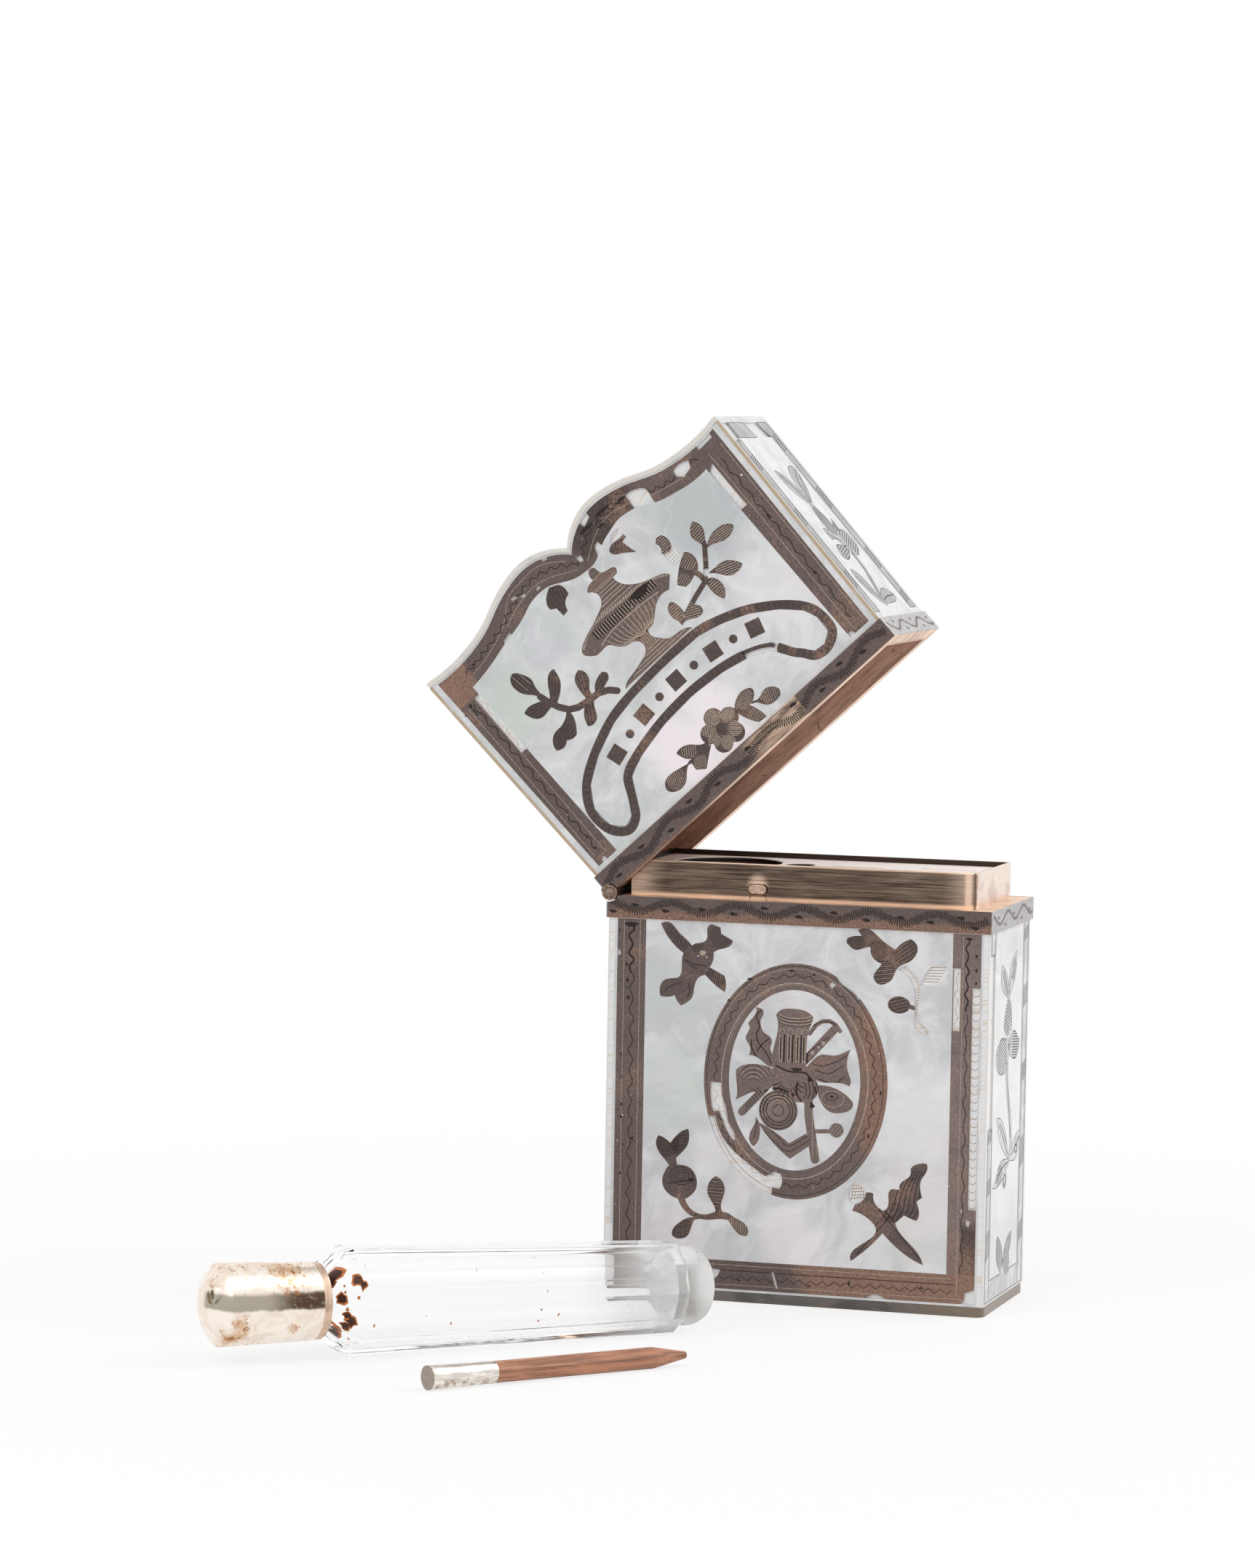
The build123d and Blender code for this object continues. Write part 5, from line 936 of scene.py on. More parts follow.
    # Sprays and torches
    dark.hatches(
        (9.4, 45.9, 1.9, 75, 0.25, 0.06), (14.4, 40.8, 1.4, 80, 0.25, 0.06),
        (15.0, 46.2, 1.5, -52, 0.3, 0.05), (11.9, 45.0, 0.9, 15, 0.22, 0.05),
        (32.5, 46.0, 1.3, 0, 0.16, 0.045), (39.0, 45.3, 1.7, 35, 0.22, 0.06),
        (36.2, 42.5, 1.7, 8, 0.25, 0.06), (35.2, 45.2, 1.4, 58, 0.24, 0.05), (38.2, 38.6, 1.3, 15, 0.4, 0.06),
        (8.2, 19.8, 1.9, 0, 0.18, 0.05), (10.6, 20.0, 1.9, 0, 0.18, 0.05), (14.9, 13.7, 2.0, 0, 0.22, 0.05),
        (10.0, 8.9, 1.9, 10, 0.28, 0.06), (13.8, 11.1, 1.8, 85, 0.3, 0.05), (38.0, 12.6, 1.3, 75, 0.36, 0.05),
    )
    pale.hatches(
        (15.0, 13.8, 1.8, 0, 0.44, 0.04), (36.3, 42.4, 1.5, 8, 0.5, 0.04), (18.3, 9.3, 1.9, 90, 0.3, 0.06),
        (9.2, 46.0, 1.6, 75, 0.5, 0.04), (38.9, 45.3, 1.5, 35, 0.44, 0.04),
    )
    copper.hatches((34.8, 45.4, 1.6, 58, 0.24, 0.06))
    dark.lines(
        0.07, [(10.2, 43.2), (11.4, 42.6), (13.4, 42.3)], [(10.3, 42.9), (12.0, 41.9)],
        [(7.8, 38.9), (8.5, 39.6), (9.5, 40.0), (10.2, 40.2)], [(10.9, 40.0), (11.1, 39.0), (10.7, 38.2)],
        [(8.6, 14.6), (10.4, 14.9), (12.4, 15.1)], [(36.5, 13.3), (42.6, 6.6)], [(36.1, 12.9), (42.0, 6.4)],
        [(33.4, 7.0), (37.8, 12.2)], [(33.0, 7.4), (37.3, 12.6)],
    )
    pale.spots([(12.7, 44.0, 0.9, 0.7), (12.1, 43.6, 0.4, 0.25), (13.2, 43.5, 0.3, 0.3)])
    dark.spots([(11.7, 15.2, 0.8, 0.5), (9.0, 43.9, 0.3, 0.3), (40.4, 16.9, 0.4, 0.3)])
    for radius in (0.5, 0.9, 1.3):
        dark.arc((10.4, 15.6), radius * 1.15, radius * 0.85, 0, 360, 0.06)
    for k in range(6):
        dark.lines(0.07, [(37.0 + 0.7 * k, 11.4 + 0.1 * k), (38.0 + 0.65 * k, 13.2), (38.6 + 0.55 * k, 15.4),
                          (40.2 + 0.35 * k, 18.0)])


def engrave_lid_front(dark, pale, copper, pitch):
    """The lid's front: waved borders under the scalloped top, the urn, sprigs, ribbon and rosette."""
    pale.lines(
        0.05, [(1.9, 5.0), (1.6, 30.0)], [(3.4, 4.5), (3.2, 30.0)], [(46.5, 4.5), (46.9, 33.0)],
        [(48.2, 4.5), (48.9, 33.0)],
        [(5.0, 32.8), (7.9, 33.2), (12.0, 34.6), (15.0, 36.9), (17.3, 37.3), (20.0, 37.4), (21.8, 36.8),
         (23.9, 35.3)],
        [(12.4, 34.2), (15.0, 35.2), (18.2, 35.7), (20.6, 35.3), (22.7, 34.3), (24.5, 33.4)],
        [(26.0, 33.4), (29.0, 35.2), (32.0, 35.9), (34.4, 35.4), (38.0, 34.0), (43.0, 32.8)],
    )
    dark.wave((2.75, 5.5), (2.5, 30.0), 0.6, 2.3, 0.09)
    dark.wave((47.2, 5.5), (47.7, 31.5), 0.5, 2.6, 0.08)
    top_border = [(4.2, 33.5), (7.7, 33.8), (12.4, 34.9), (16.0, 36.2), (19.4, 36.5), (22.3, 35.7),
                  (24.9, 34.2), (27.9, 35.7), (30.8, 36.6), (34.1, 36.1), (37.4, 34.8), (40.6, 33.8),
                  (46.0, 33.6)]
    dark.zigzag(smooth(top_border), 0.6, pitch * 0.9, 0.08)
    dark.spots([
        (5.2, 35.1, 0.3, 0.45), (6.85, 35.05, 0.55, 0.4), (5.85, 33.7, 0.35, 0.35), (2.1, 30.0, 0.55, 0.5),
        (2.03, 29.1, 0.2, 1.6), (0.8, 29.5, 0.35, 0.25), (2.7, 7.5, 0.3, 0.3), (2.7, 5.8, 0.3, 0.35),
        (28.6, 36.6, 2.4, 0.6), (31.7, 36.9, 2.6, 0.55), (34.4, 36.3, 1.6, 0.5), (30.4, 35.6, 1.2, 0.35),
        (47.6, 22.0, 0.3, 0.9), (47.3, 12.8, 0.4, 0.5),
    ])
    pale.spots([(27.4, 36.0, 0.18, 0.15), (29.8, 36.4, 0.2, 0.14), (31.0, 36.2, 0.16, 0.12),
                (32.9, 36.5, 0.22, 0.14), (34.9, 36.0, 0.15, 0.15), (33.8, 35.6, 0.14, 0.12)])

    # The urn
    for k, v in enumerate((29.75, 29.3, 28.85, 28.3, 27.9, 27.3)):
        pale.lines(0.09, [(24.3 - 0.06 * k * k, v), (27.6 + 0.06 * k * k, v)])
    copper.ticks([(23.5, 30.6), (28.3, 30.6)], 0.3, 1.2, 70, 0.10)
    pale.lines(0.07, [(23.2, 30.0), (28.6, 30.0)], [(23.2, 31.2), (28.6, 31.2)])
    pale.ticks([(18.3, 25.6), (19.8, 26.5), (22.0, 27.0), (25.5, 26.8), (29.0, 26.6), (31.5, 26.0),
                (33.0, 25.2)], 0.34, 0.62, 55, 0.13)
    for k in range(25):
        u = 20.6 + 0.42 * k
        dark.lines(0.16, [(u, 26.35), (u + 0.03, 25.05)])
        pale.lines(0.07, [(u + 0.2, 26.3), (u + 0.22, 25.1)])
    pale.lines(0.11, [(20.3, 24.3), (22.6, 24.75), (25.0, 24.8), (27.8, 24.7), (30.5, 24.4)])
    for k in range(15):
        share = k / 14
        top = (20.6 + 9.4 * share, 24.2 + 0.55 * math.sin(math.pi * share))
        middle = ((top[0] + 25.4) / 2 + (share - 0.5) * 2.6, 22.7)
        pale.lines(0.08, [(25.4 + 1.2 * (share - 0.5), 21.7), middle, top])
    for k in range(5):
        pale.lines(0.06, [(24.8 + 0.35 * k, 20.0), (24.8 + 0.35 * k, 21.6)])
    for v, left, right in ((19.9, 24.2, 26.8), (19.5, 23.0, 28.2), (19.0, 22.0, 29.5), (18.6, 20.8, 30.3),
                           (18.2, 19.4, 31.0)):
        pale.lines(0.09, [(left, v), (right, v)])
    dark.spots([(28.6, 26.0, 3.2, 1.3)])
    pale.spots([(26.6, 25.3, 0.3, 0.25), (27.4, 25.0, 0.22, 0.3), (28.1, 25.5, 0.25, 0.2),
                (27.0, 24.9, 0.2, 0.15)])

    # Sprigs, ribbon and rosette
    dark.hatches(*[(*leaf, 0.05) for leaf in (
        (9.2, 27.8, 1.9, 100, 0.45), (12.2, 25.0, 1.6, 48, 0.42), (8.2, 23.8, 1.6, -14, 0.4),
        (15.3, 22.4, 1.7, 65, 0.42), (17.2, 21.0, 1.5, 25, 0.42), (8.9, 19.2, 1.8, 20, 0.42),
        (13.5, 18.8, 1.5, 60, 0.42), (19.9, 32.5, 1.8, 75, 0.42), (30.5, 31.6, 1.2, 60, 0.4),
    )])
    pale.hatches(
        (35.0, 28.1, 1.3, 0, 0.3, 0.07), (39.2, 26.7, 1.6, 5, 0.33, 0.07), (41.4, 24.4, 2.2, -5, 0.28, 0.07),
        (36.0, 24.7, 1.2, 20, 0.3, 0.06), (33.8, 23.3, 1.0, 15, 0.3, 0.06), (39.6, 20.9, 1.9, -20, 0.3, 0.07),
        (36.6, 19.6, 1.4, 0, 0.33, 0.07), (30.6, 20.9, 1.2, 0, 0.33, 0.07), (32.0, 19.6, 1.3, -25, 0.3, 0.07),
        (8.9, 28.0, 1.6, 100, 0.9, 0.04), (25.2, 8.0, 1.1, 0, 0.22, 0.08), (27.0, 7.2, 1.1, 90, 0.22, 0.08),
        (26.6, 5.1, 1.0, -40, 0.22, 0.08), (24.8, 4.3, 1.0, 0, 0.22, 0.08), (23.8, 7.3, 1.0, 40, 0.22, 0.07),
        (23.6, 5.7, 0.9, 90, 0.22, 0.07), (20.2, 7.0, 1.2, 55, 0.3, 0.06), (20.4, 4.6, 1.1, 90, 0.28, 0.06),
        (29.8, 7.2, 1.4, 90, 0.26, 0.06), (29.8, 4.5, 1.2, 80, 0.3, 0.05), (32.8, 5.4, 1.3, 70, 0.3, 0.05),
        (16.6, 5.2, 1.4, 70, 0.26, 0.04),
    )
    copper.arc((25.3, 6.1), 0.9, 0.9, 0, 360, 0.08)
    dark.ticks([(34.5, 20.9), (38.2, 23.2)], 0.35, 0.6, 90, 0.06)
    dark.ticks(RIBBON, 0.8, 0.9, 95, 0.04)


def engrave_bare_body(score):
    """Score marks in the pockets of the body's front that have lost their silver."""
    score.ticks([(38.3, 43.7), (40.5, 41.8), (40.6, 38.0), (40.5, 37.0), (41.9, 35.4)], 0.32, 0.62, 95, 0.09)
    for k in range(6):
        v = 41.7 + 0.36 * k
        score.lines(0.08, [(41.2 + 0.15 * k, v), (43.2 + 0.22 * k, v + 0.06)])
    for k in range(5):
        score.lines(0.07, [(32.5 + 0.4 * k, 13.7 + 0.1 * k), (32.9 + 0.3 * k, 15.7)],
                    [(32.4, 14.0 + 0.4 * k), (34.3, 14.2 + 0.4 * k)])
    for k in range(27):
        score.arc((48.0, 14.0 + 1.02 * k), 0.42, 0.42, 200, 340, 0.08)
    for u, low, high in ((47.48, 13.5, 41.0), (48.55, 13.5, 41.0), (45.05, 35.8, 43.4), (46.0, 35.8, 43.4)):
        score.lines(0.10, [(u, low), (u, high)])
    score.wave((45.5, 36.0), (45.5, 43.4), 0.4, 1.9, 0.06)
    for across in (9.6, 11.3):
        score.line(*oval(MEDALLION, across, across + 2.95, 186, 255), width=0.09)
    score.zigzag(oval(MEDALLION, 10.45, 13.4, 186, 255), 0.6, 1.7, 0.05)


def engrave_bare_lid(score):
    """Score marks in the bare pockets of the lid's front."""
    for k in range(6):
        score.lines(0.07, [(34.2, 25.5 + 0.38 * k), (35.4, 25.6 + 0.38 * k)])
    score.lines(0.07, [(30.2, 33.4), (31.5, 33.5)], [(30.6, 33.7), (31.6, 33.8)])
    score.lines(0.09, [(3.15, 21.3), (3.15, 30.3)], [(4.1, 21.3), (4.15, 30.3)], [(45.3, 25.1), (45.4, 31.0)],
                [(46.3, 25.1), (46.4, 31.3)])
    score.wave((3.6, 21.3), (3.6, 30.3), 0.4, 2.0, 0.05)


def engrave_side(cuts, height, foot, groups, plant):
    """A narrow side: ruled borders with groups of slanted strokes, and a plant with ruled leaves."""
    for u in (1.3, 3.25, 19.35, 21.6):
        cuts.lines(0.06, [(u, foot), (u, height)])
    for left, right, high, low in groups:
        for k in range(int(abs(high - low) / 0.34)):
            v = low + 0.34 * k
            cuts.lines(0.055, [(left, v), (right, v + 0.55)])
    leaves, veins = plant
    cuts.hatches(*[(*leaf, 0.06) for leaf in leaves])
    cuts.lines(0.08, *veins)


# The medallion's centre, and the middle line of the ribbon
MEDALLION = (24.95, 28.4)
RIBBON = [
    (5.6, 6.4), (5.3, 9.6), (7.1, 12.5), (10.5, 14.7), (15.1, 16.5), (19.2, 17.15), (24.9, 17.45),
    (30.8, 17.35), (34.2, 16.5), (37.7, 15.1), (41.1, 12.9), (43.5, 10.6), (44.4, 8.6), (44.3, 6.0),
    (42.5, 4.8), (40.6, 5.0), (39.5, 6.3), (38.6, 7.3), (37.0, 9.6), (34.1, 11.0), (30.2, 11.9),
    (25.2, 12.3), (19.9, 12.0), (14.9, 11.0), (12.0, 9.8), (10.6, 7.3), (9.3, 5.2), (7.4, 4.6), (5.6, 6.4),
]

# Left, right and top of the ribbon's chipped run
CHIPPED_RIBBON = (33.4, 37.6, 12.0)

# Leaves to be ruled, as hatches without a width, and veins
BODY_PLANT = (
    ((11.0, 36.5, 2.2, 8, 0.42), (8.1, 32.0, 2.8, 12, 0.42), (15.3, 32.7, 2.0, -5, 0.33),
     (12.1, 33.0, 0.9, 50, 0.3), (8.7, 6.6, 2.6, 60, 0.42), (13.2, 6.4, 2.8, 40, 0.42),
     (14.5, 42.0, 1.4, 60, 0.5), (8.0, 16.9, 1.6, 15, 0.45)),
    ([(7.4, 42.6), (9.0, 40.9), (10.7, 39.3)], [(8.0, 42.8), (9.6, 41.2), (10.8, 39.8)],
     [(11.2, 39.4), (12.6, 41.8), (14.8, 44.0)], [(7.0, 23.4), (9.4, 21.6), (12.4, 19.0)],
     [(7.6, 23.6), (10.0, 22.0), (12.6, 19.6)], [(6.0, 16.1), (9.4, 17.6), (12.8, 18.0)],
     [(14.2, 18.6), (16.4, 19.4), (18.8, 20.6)], oval((17.0, 19.2), 0.7, 0.5, count=20),
     oval((11.0, 15.9), 0.6, 0.7, count=20), [(10.9, 31.0), (11.2, 28.6), (12.6, 25.0), (13.7, 21.0)]),
)
LID_PLANT = (
    ((12.0, 18.6, 2.4, 84, 0.42), (15.4, 15.2, 2.2, 20, 0.42), (9.6, 13.6, 2.0, 12, 0.4),
     (14.8, 17.6, 0.9, 40, 0.3)),
    ([(7.8, 26.4), (9.6, 24.2), (11.5, 21.6)], [(8.5, 26.2), (10.2, 24.5), (11.6, 22.4)],
     [(11.9, 21.7), (14.0, 24.6), (17.2, 27.0)], [(12.2, 21.6), (14.9, 24.0), (17.3, 26.2)],
     [(5.3, 9.8), (6.8, 7.8), (8.6, 5.8)], [(9.2, 5.6), (12.2, 6.2), (15.8, 6.3)],
     [(8.3, 16.8), (10.0, 16.0), (11.8, 15.2)],
     oval((12.2, 13.9), 0.8, 0.7, count=20), [(9.2, 5.8), (10.6, 8.3), (12.0, 10.6), (12.4, 13.2)]),
)

# Left, right, top and foot of the groups of slanted strokes on the narrow sides' borders
BODY_SIDE_GROUPS = (
    (1.3, 3.25, 23.0, 21.5), (1.3, 3.25, 17.3, 15.0), (1.3, 3.25, 10.5, 7.0), (19.35, 21.6, 47.5, 45.5),
    (19.35, 21.6, 40.0, 37.0), (19.35, 21.6, 30.0, 27.5), (19.35, 21.6, 20.5, 16.5), (19.35, 21.6, 9.5, 7.0),
)
LID_SIDE_GROUPS = (
    (1.3, 3.2, 29.5, 27.0), (1.3, 3.2, 21.0, 18.0), (1.3, 3.2, 11.0, 8.0), (19.35, 21.6, 33.0, 30.0),
    (19.35, 21.6, 24.0, 20.5), (19.35, 21.6, 14.0, 10.5), (19.35, 21.6, 7.0, 5.0),
)

# The silver of each wide face, as the last words of its nodes' names
INLAYS = {
    ("body", "front"): ("border", "medallion", "trophy", "sprays", "torch"),
    ("body", "back"): ("border", "medallion", "sprays"),
    ("lid", "front"): ("border", "urn", "sprigs", "banner", "motifs", "spray"),
    ("lid", "back"): ("border", "urn", "sprigs"),
}

# Centres of the ovals on the rims of the case and the lid, on their wide sides and their narrow ones
RIM_OVALS = {
    ("case", True): (
        (3.8, 49.7), (12.6, 49.5), (20.7, 50.0), (29.7, 49.8), (38.3, 49.6), (46.0, 49.9), (0.9, 48.8),
        (7.8, 49.1), (16.7, 49.1), (25.2, 49.1), (33.9, 49.1), (42.1, 49.2), (47.8, 48.7),
    ),
    ("case", False): ((3.3, 49.8), (11.8, 49.7), (20.5, 49.5), (7.1, 48.7), (16.2, 48.7)),
    ("lid", True): (
        (7.4, 1.9), (16.0, 2.1), (26.2, 2.1), (34.3, 2.3), (42.2, 2.2), (2.8, 1.1), (11.8, 0.9),
        (20.3, 1.3), (38.4, 1.2), (45.5, 1.3),
    ),
    ("lid", False): ((4.0, 2.2), (12.8, 2.2), (21.0, 2.1), (8.5, 0.9), (17.0, 0.9)),
}


def inlays(part, side):
    """The nodes that carry the silver of a wide face."""
    return [f"{part}_{side}_{motif}" for motif in INLAYS[part, side]]


def seam(face, names, material, name, width):
    """A fine line round the metal, where it meets the pearl."""
    edge = Engraving(face, clip=False)
    inverse = face.turn.inverted()
    for node_name in names:
        mesh = nodes[node_name].data
        mesh.calc_loop_triangles()
        places = []
        for vertex in mesh.vertices:
            offset = inverse @ vertex.co - face.corner
            place = (round(offset.dot(face.across) / MM, 4), round(offset.dot(face.up) / MM, 4))
            places.append(place if abs(offset.dot(face.out)) < FLAT_SLACK else None)
        # An edge of the flat front that only one triangle uses lies on the metal's outline
        flat_edges = {}
        for triangle in mesh.loop_triangles:
            corners = [places[i] for i in triangle.vertices]
            if None not in corners:
                for a, b in zip(corners, corners[1:] + corners[:1]):
                    key = (min(a, b), max(a, b))
                    flat_edges[key] = flat_edges.get(key, 0) + 1
        for (a, b), uses in flat_edges.items():
            if uses == 1 and a != b:
                edge.strip([a, b], width)
    edge.make(name, material, "silver_inlay")


# Operators

class VANITYCASE_OT_pearl(bpy.types.Operator):
    """Finish the pearl plaques and the lid's cover"""

    bl_idname = "vanity_case.pearl"
    bl_label = "Pearl plaques"

    def execute(self, context):
        depth, reach, joint = face_y / MM, face_x / MM, joint_height / MM
        blue, pink, green = (0.47, 0.49, 0.52), (0.98, 0.90, 0.94), (0.62, 0.68, 0.62)
        pale = (0.90, 0.90, 0.90)

        def side_edges(x, y, z):
            return (abs(y) - depth + 0.05).between(0.0, 0.02)

        def lid_side_edges(x, y, z):
            outer = abs(x) - lid_side_x / MM - math.tan(lid_lean) * (z - joint)
            return (outer + 0.5).between(0.0, 0.15) * (abs(y) - depth + 0.35).between(0.0, 0.1)

        def front_pockets(x, y, z):
            return abs(y).between(depth - 0.14, depth - 0.2)

        def side_pockets(x, y, z):
            return abs(x).between(reach - 0.14, reach - 0.2)

        body_tints = (
            ((17, -depth, 25), 3.0, 11.0, pale, 0.6), ((17, -depth, 12), 2.0, 10.0, (0.80, 0.76, 0.76), 0.8),
            ((-17, -depth, 27), 2.0, 9.0, green, 0.6), ((0, -depth, 8), 1.0, 7.0, pink, 0.6),
            ((-18, -depth, 40), 2.0, 9.0, (0.60, 0.60, 0.63), 0.5),
        )
        lid_tints = (
            ((16, -depth, joint + 28), 2.0, 9.0, blue, 0.8),
            ((-18, -depth, joint + 26), 2.0, 8.0, green, 0.7),
            ((-3, -depth, joint + 8), 3.0, 11.0, pink, 0.9),
            ((17, -depth, joint + 15), 2.0, 8.0, pale, 0.6),
            ((-10, -depth, joint + 30), 1.5, 6.0, (0.60, 0.60, 0.66), 0.5),
        )
        # Painted light: the body's narrow sides are whitened nearly all over, as they are lit more brightly
        # than the fronts.
        side_painted_light = (((reach, 0, 25), 5.0, 30.0, (0.88, 0.87, 0.85), 0.7),)
        for names, *finish in (
            (("body_plaque_front", "body_plaque_back"),
             "pearl body", None, body_tints, None, None, front_pockets),
            (("body_plaque_right", "body_plaque_left"),
             "pearl body sides", None, side_painted_light, (0.80, 0.77, 0.73), side_edges, side_pockets),
            (("lid_plaque_front", "lid_plaque_back"),
             "pearl lid", lid_to_shut, lid_tints, None, None, front_pockets),
            (("lid_plaque_right", "lid_plaque_left"),
             "pearl lid sides", lid_to_shut, (), (0.50, 0.38, 0.25), lid_side_edges),
            (("lid_top_cover",), "pearl cover", lid_to_shut, (), (0.76, 0.72, 0.66), side_edges),
        ):
            dress(names, pearl_finish(*finish))
        soften(["lid_top_cover"], sizes().edge_wear * 2)
        return {"FINISHED"}


class VANITYCASE_OT_silver(bpy.types.Operator):
    """Finish the silver inlays"""

    bl_idname = "vanity_case.silver"
    bl_label = "Silver inlays"

    def execute(self, context):
        joint = joint_height / MM

        def body_border_copper(x, z):
            foot = z.between(5.3, 5.1) * x.between(-1.0, 3.0)
            return foot + x.between(14.0, 20.0) * z.between(16.0, 6.0) * 0.5

        def medallion_copper(x, z):
            return x.between(6.0, 10.0) * z.between(16.0, 22.0) * z.between(42.0, 37.0)

        def lid_border_copper(x, z):
            return x.between(-19.5, -20.5) * z.between(joint + 30, joint + 31)

        def lid_border_scallop(x, z):
            return x.between(0.0, 1.5) * x.between(12.0, 10.0) * z.between(joint + 33, joint + 34)

        # Parts of a border or the medallion that are lighter or darker than the rest, with their levels
        body_border_areas = (
            (lambda x, z: x.between(19.5, 20.0), 2.3),
            (lambda x, z: z.between(5.3, 5.1) * x.between(-18.0, -16.0), 1.3),
            (lambda x, z: x.between(21.4, 21.9) * z.between(12.5, 10.5), 0.8),
        )
        medallion_areas = ((lambda x, z: z.between(19.0, 15.0), 1.5),)
        lid_border_areas = ((lid_border_scallop, 0.7),)
        for names, *finish in (
            (("body_front_border", "body_back_border"),
             "silver body border", None, 1.5, 0.9, 0.5, body_border_areas, body_border_copper),
            (("body_front_medallion", "body_back_medallion"),
             "silver medallion", None, 1.75, 0.6, 0.6, medallion_areas, medallion_copper),
            (("body_front_trophy",), "silver trophy", None, 1.9, 0.2, 0.55),
            (("body_front_sprays", "body_front_torch", "body_back_sprays"),
             "silver body motifs", None, 1.25, 0.3, 0.45),
            (("lid_front_border", "lid_back_border"),
             "silver lid border", lid_to_shut, 1.4, 1.0, 0.4, lid_border_areas, lid_border_copper),
            (("lid_front_urn", "lid_back_urn"), "silver urn", lid_to_shut, 1.5, 0.2, 0.5),
            (("lid_front_sprigs", "lid_back_sprigs", "lid_front_banner", "lid_front_motifs",
              "lid_front_spray"), "silver lid motifs", lid_to_shut, 0.95, 0.3, 0.4),
        ):
            dress(names, silver_finish(*finish))
        body_sides = bright_silver_finish("silver body sides", None, 1.0)
        # The lid's sides take a darker copy of the same silver: painted shade, since they face up and would
        # catch more of the light.
        lid_sides = bright_silver_finish("silver lid sides", lid_to_shut, 0.66)
        dress(["body_right_inlay", "body_left_inlay"], body_sides)
        dress(["lid_right_inlay", "lid_left_inlay"], lid_sides)
        return {"FINISHED"}


class VANITYCASE_OT_engraving(bpy.types.Operator):
    """Engrave the silver and the rims"""

    bl_idname = "vanity_case.engraving"
    bl_label = "Engraving"

    def execute(self, context):
        c = colours()
        dark = cut_finish("cut dark", c.cut)
        pale = cut_finish("cut pale", c.cut_pale, 0.4, 0.5)
        copper = cut_finish("cut copper", c.copper, 0.4, 0.5)
        grey = cut_finish("cut grey", (0.10, 0.10, 0.115))
        wave_grey = cut_finish("wave grey", (0.22, 0.20, 0.20))
        brown = cut_finish("seam brown", (0.24, 0.155, 0.10), 0.7)
        score = cut_finish("score brown", (0.42, 0.30, 0.20), 0.7)
        self.wide_faces(dark, pale, copper, brown)
        self.bare_pockets(score)
        self.narrow_sides(grey)
        self.rims(dark, wave_grey)
        self.ribbon(nodes["lid_front_banner"].data.materials[0])
        return {"FINISHED"}

    def wide_faces(self, dark, pale, copper, brown):
        """The cuts and the seams of the fronts and the backs."""
        for part, side in INLAYS:
            names = inlays(part, side)
            face = (body_face if part == "body" else lid_face)(side, names)
            draw = engrave_body_front if part == "body" else engrave_lid_front
            cuts = Engraving(face, weight=1.5), Engraving(face, weight=1.3), Engraving(face, weight=1.3)
            draw(*cuts, sizes().zigzag_pitch / MM)
            label = f"{face.body}_{side}"
            for cut, material, tone in zip(cuts, (dark, pale, copper), ("dark", "pale", "copper")):
                cut.make(f"{label}_{tone}_cuts", material, "silver_inlay")
            edged = [name for name in names if name != "lid_front_banner"]
            seam(face, edged, brown, f"{label}_seams", 0.10)

    def bare_pockets(self, score):
        """The score marks where silver is lost from the fronts."""
        for face, draw in (
            (body_face("front", inlays("body", "front")), engrave_bare_body),
            (lid_face("front", inlays("lid", "front")), engrave_bare_lid),
        ):
            marks = Engraving(face, clip=False, depth=pocket_depth)
            draw(marks)
            marks.make(f"{face.body}_bare_pocket_marks", score, "pearl")

    def narrow_sides(self, grey):
        """The cuts and the seams of the right and left ends."""
        for side in ("right", "left"):
            for part, face_of, details in (
                ("body", body_face, (47.8, 1.7, BODY_SIDE_GROUPS, BODY_PLANT)),
                ("lid", lid_face, (34.8, 4.2, LID_SIDE_GROUPS, LID_PLANT)),
            ):
                name = f"{part}_{side}_inlay"
                face = face_of(side, [name])
                cuts = Engraving(face, weight=2.2)
                engrave_side(cuts, *details)
                cuts.make(f"{part}_{side}_cuts", grey, "silver_inlay")
                seam(face, [name], grey, f"{part}_{side}_seams", 0.27)

    def rims(self, dark, grey):
        """The waves round both rims."""
        for side in ("front", "right", "back", "left"):
            wide = side in ("front", "back")
            for body, band, middle, trough in (
                ("case", "body_band", joint_height / MM - 1.2, 4.2),
                ("lid", "lid_band", 1.6, 7.9 if wide else 4.0),
            ):
                cuts = Engraving(rim_face(body, side, [band]))
                engrave_rim(cuts, 50.0 if wide else 23.0, middle, trough, RIM_OVALS[body, wide])
                cuts.make(f"{body}_rim_{side}_cuts", dark if wide else grey, "gilt_rim")

    def ribbon(self, silver):
        """A rounded ribbon in place of the node's, which is sawn in short straight runs."""
        cover = Engraving(lid_face("front", ["lid_front_banner"]), clip=False, depth=sizes().cut_lift / 2)
        path = smooth(RIBBON, 8)[:-1]
        left, right, top = CHIPPED_RIBBON
        chipped = [place for place in path if left < place[0] < right and place[1] < top]
        after, before = path.index(chipped[-1]), path.index(chipped[0])
        cover.line(*path[after:], *path[:before + 1], width=1.16)
        cover.line(*[(u - 0.12, v + 0.32) for u, v in chipped], width=0.5)
        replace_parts(cover.make("lid_ribbon_face", silver, "silver_inlay"), "lid_front_banner")


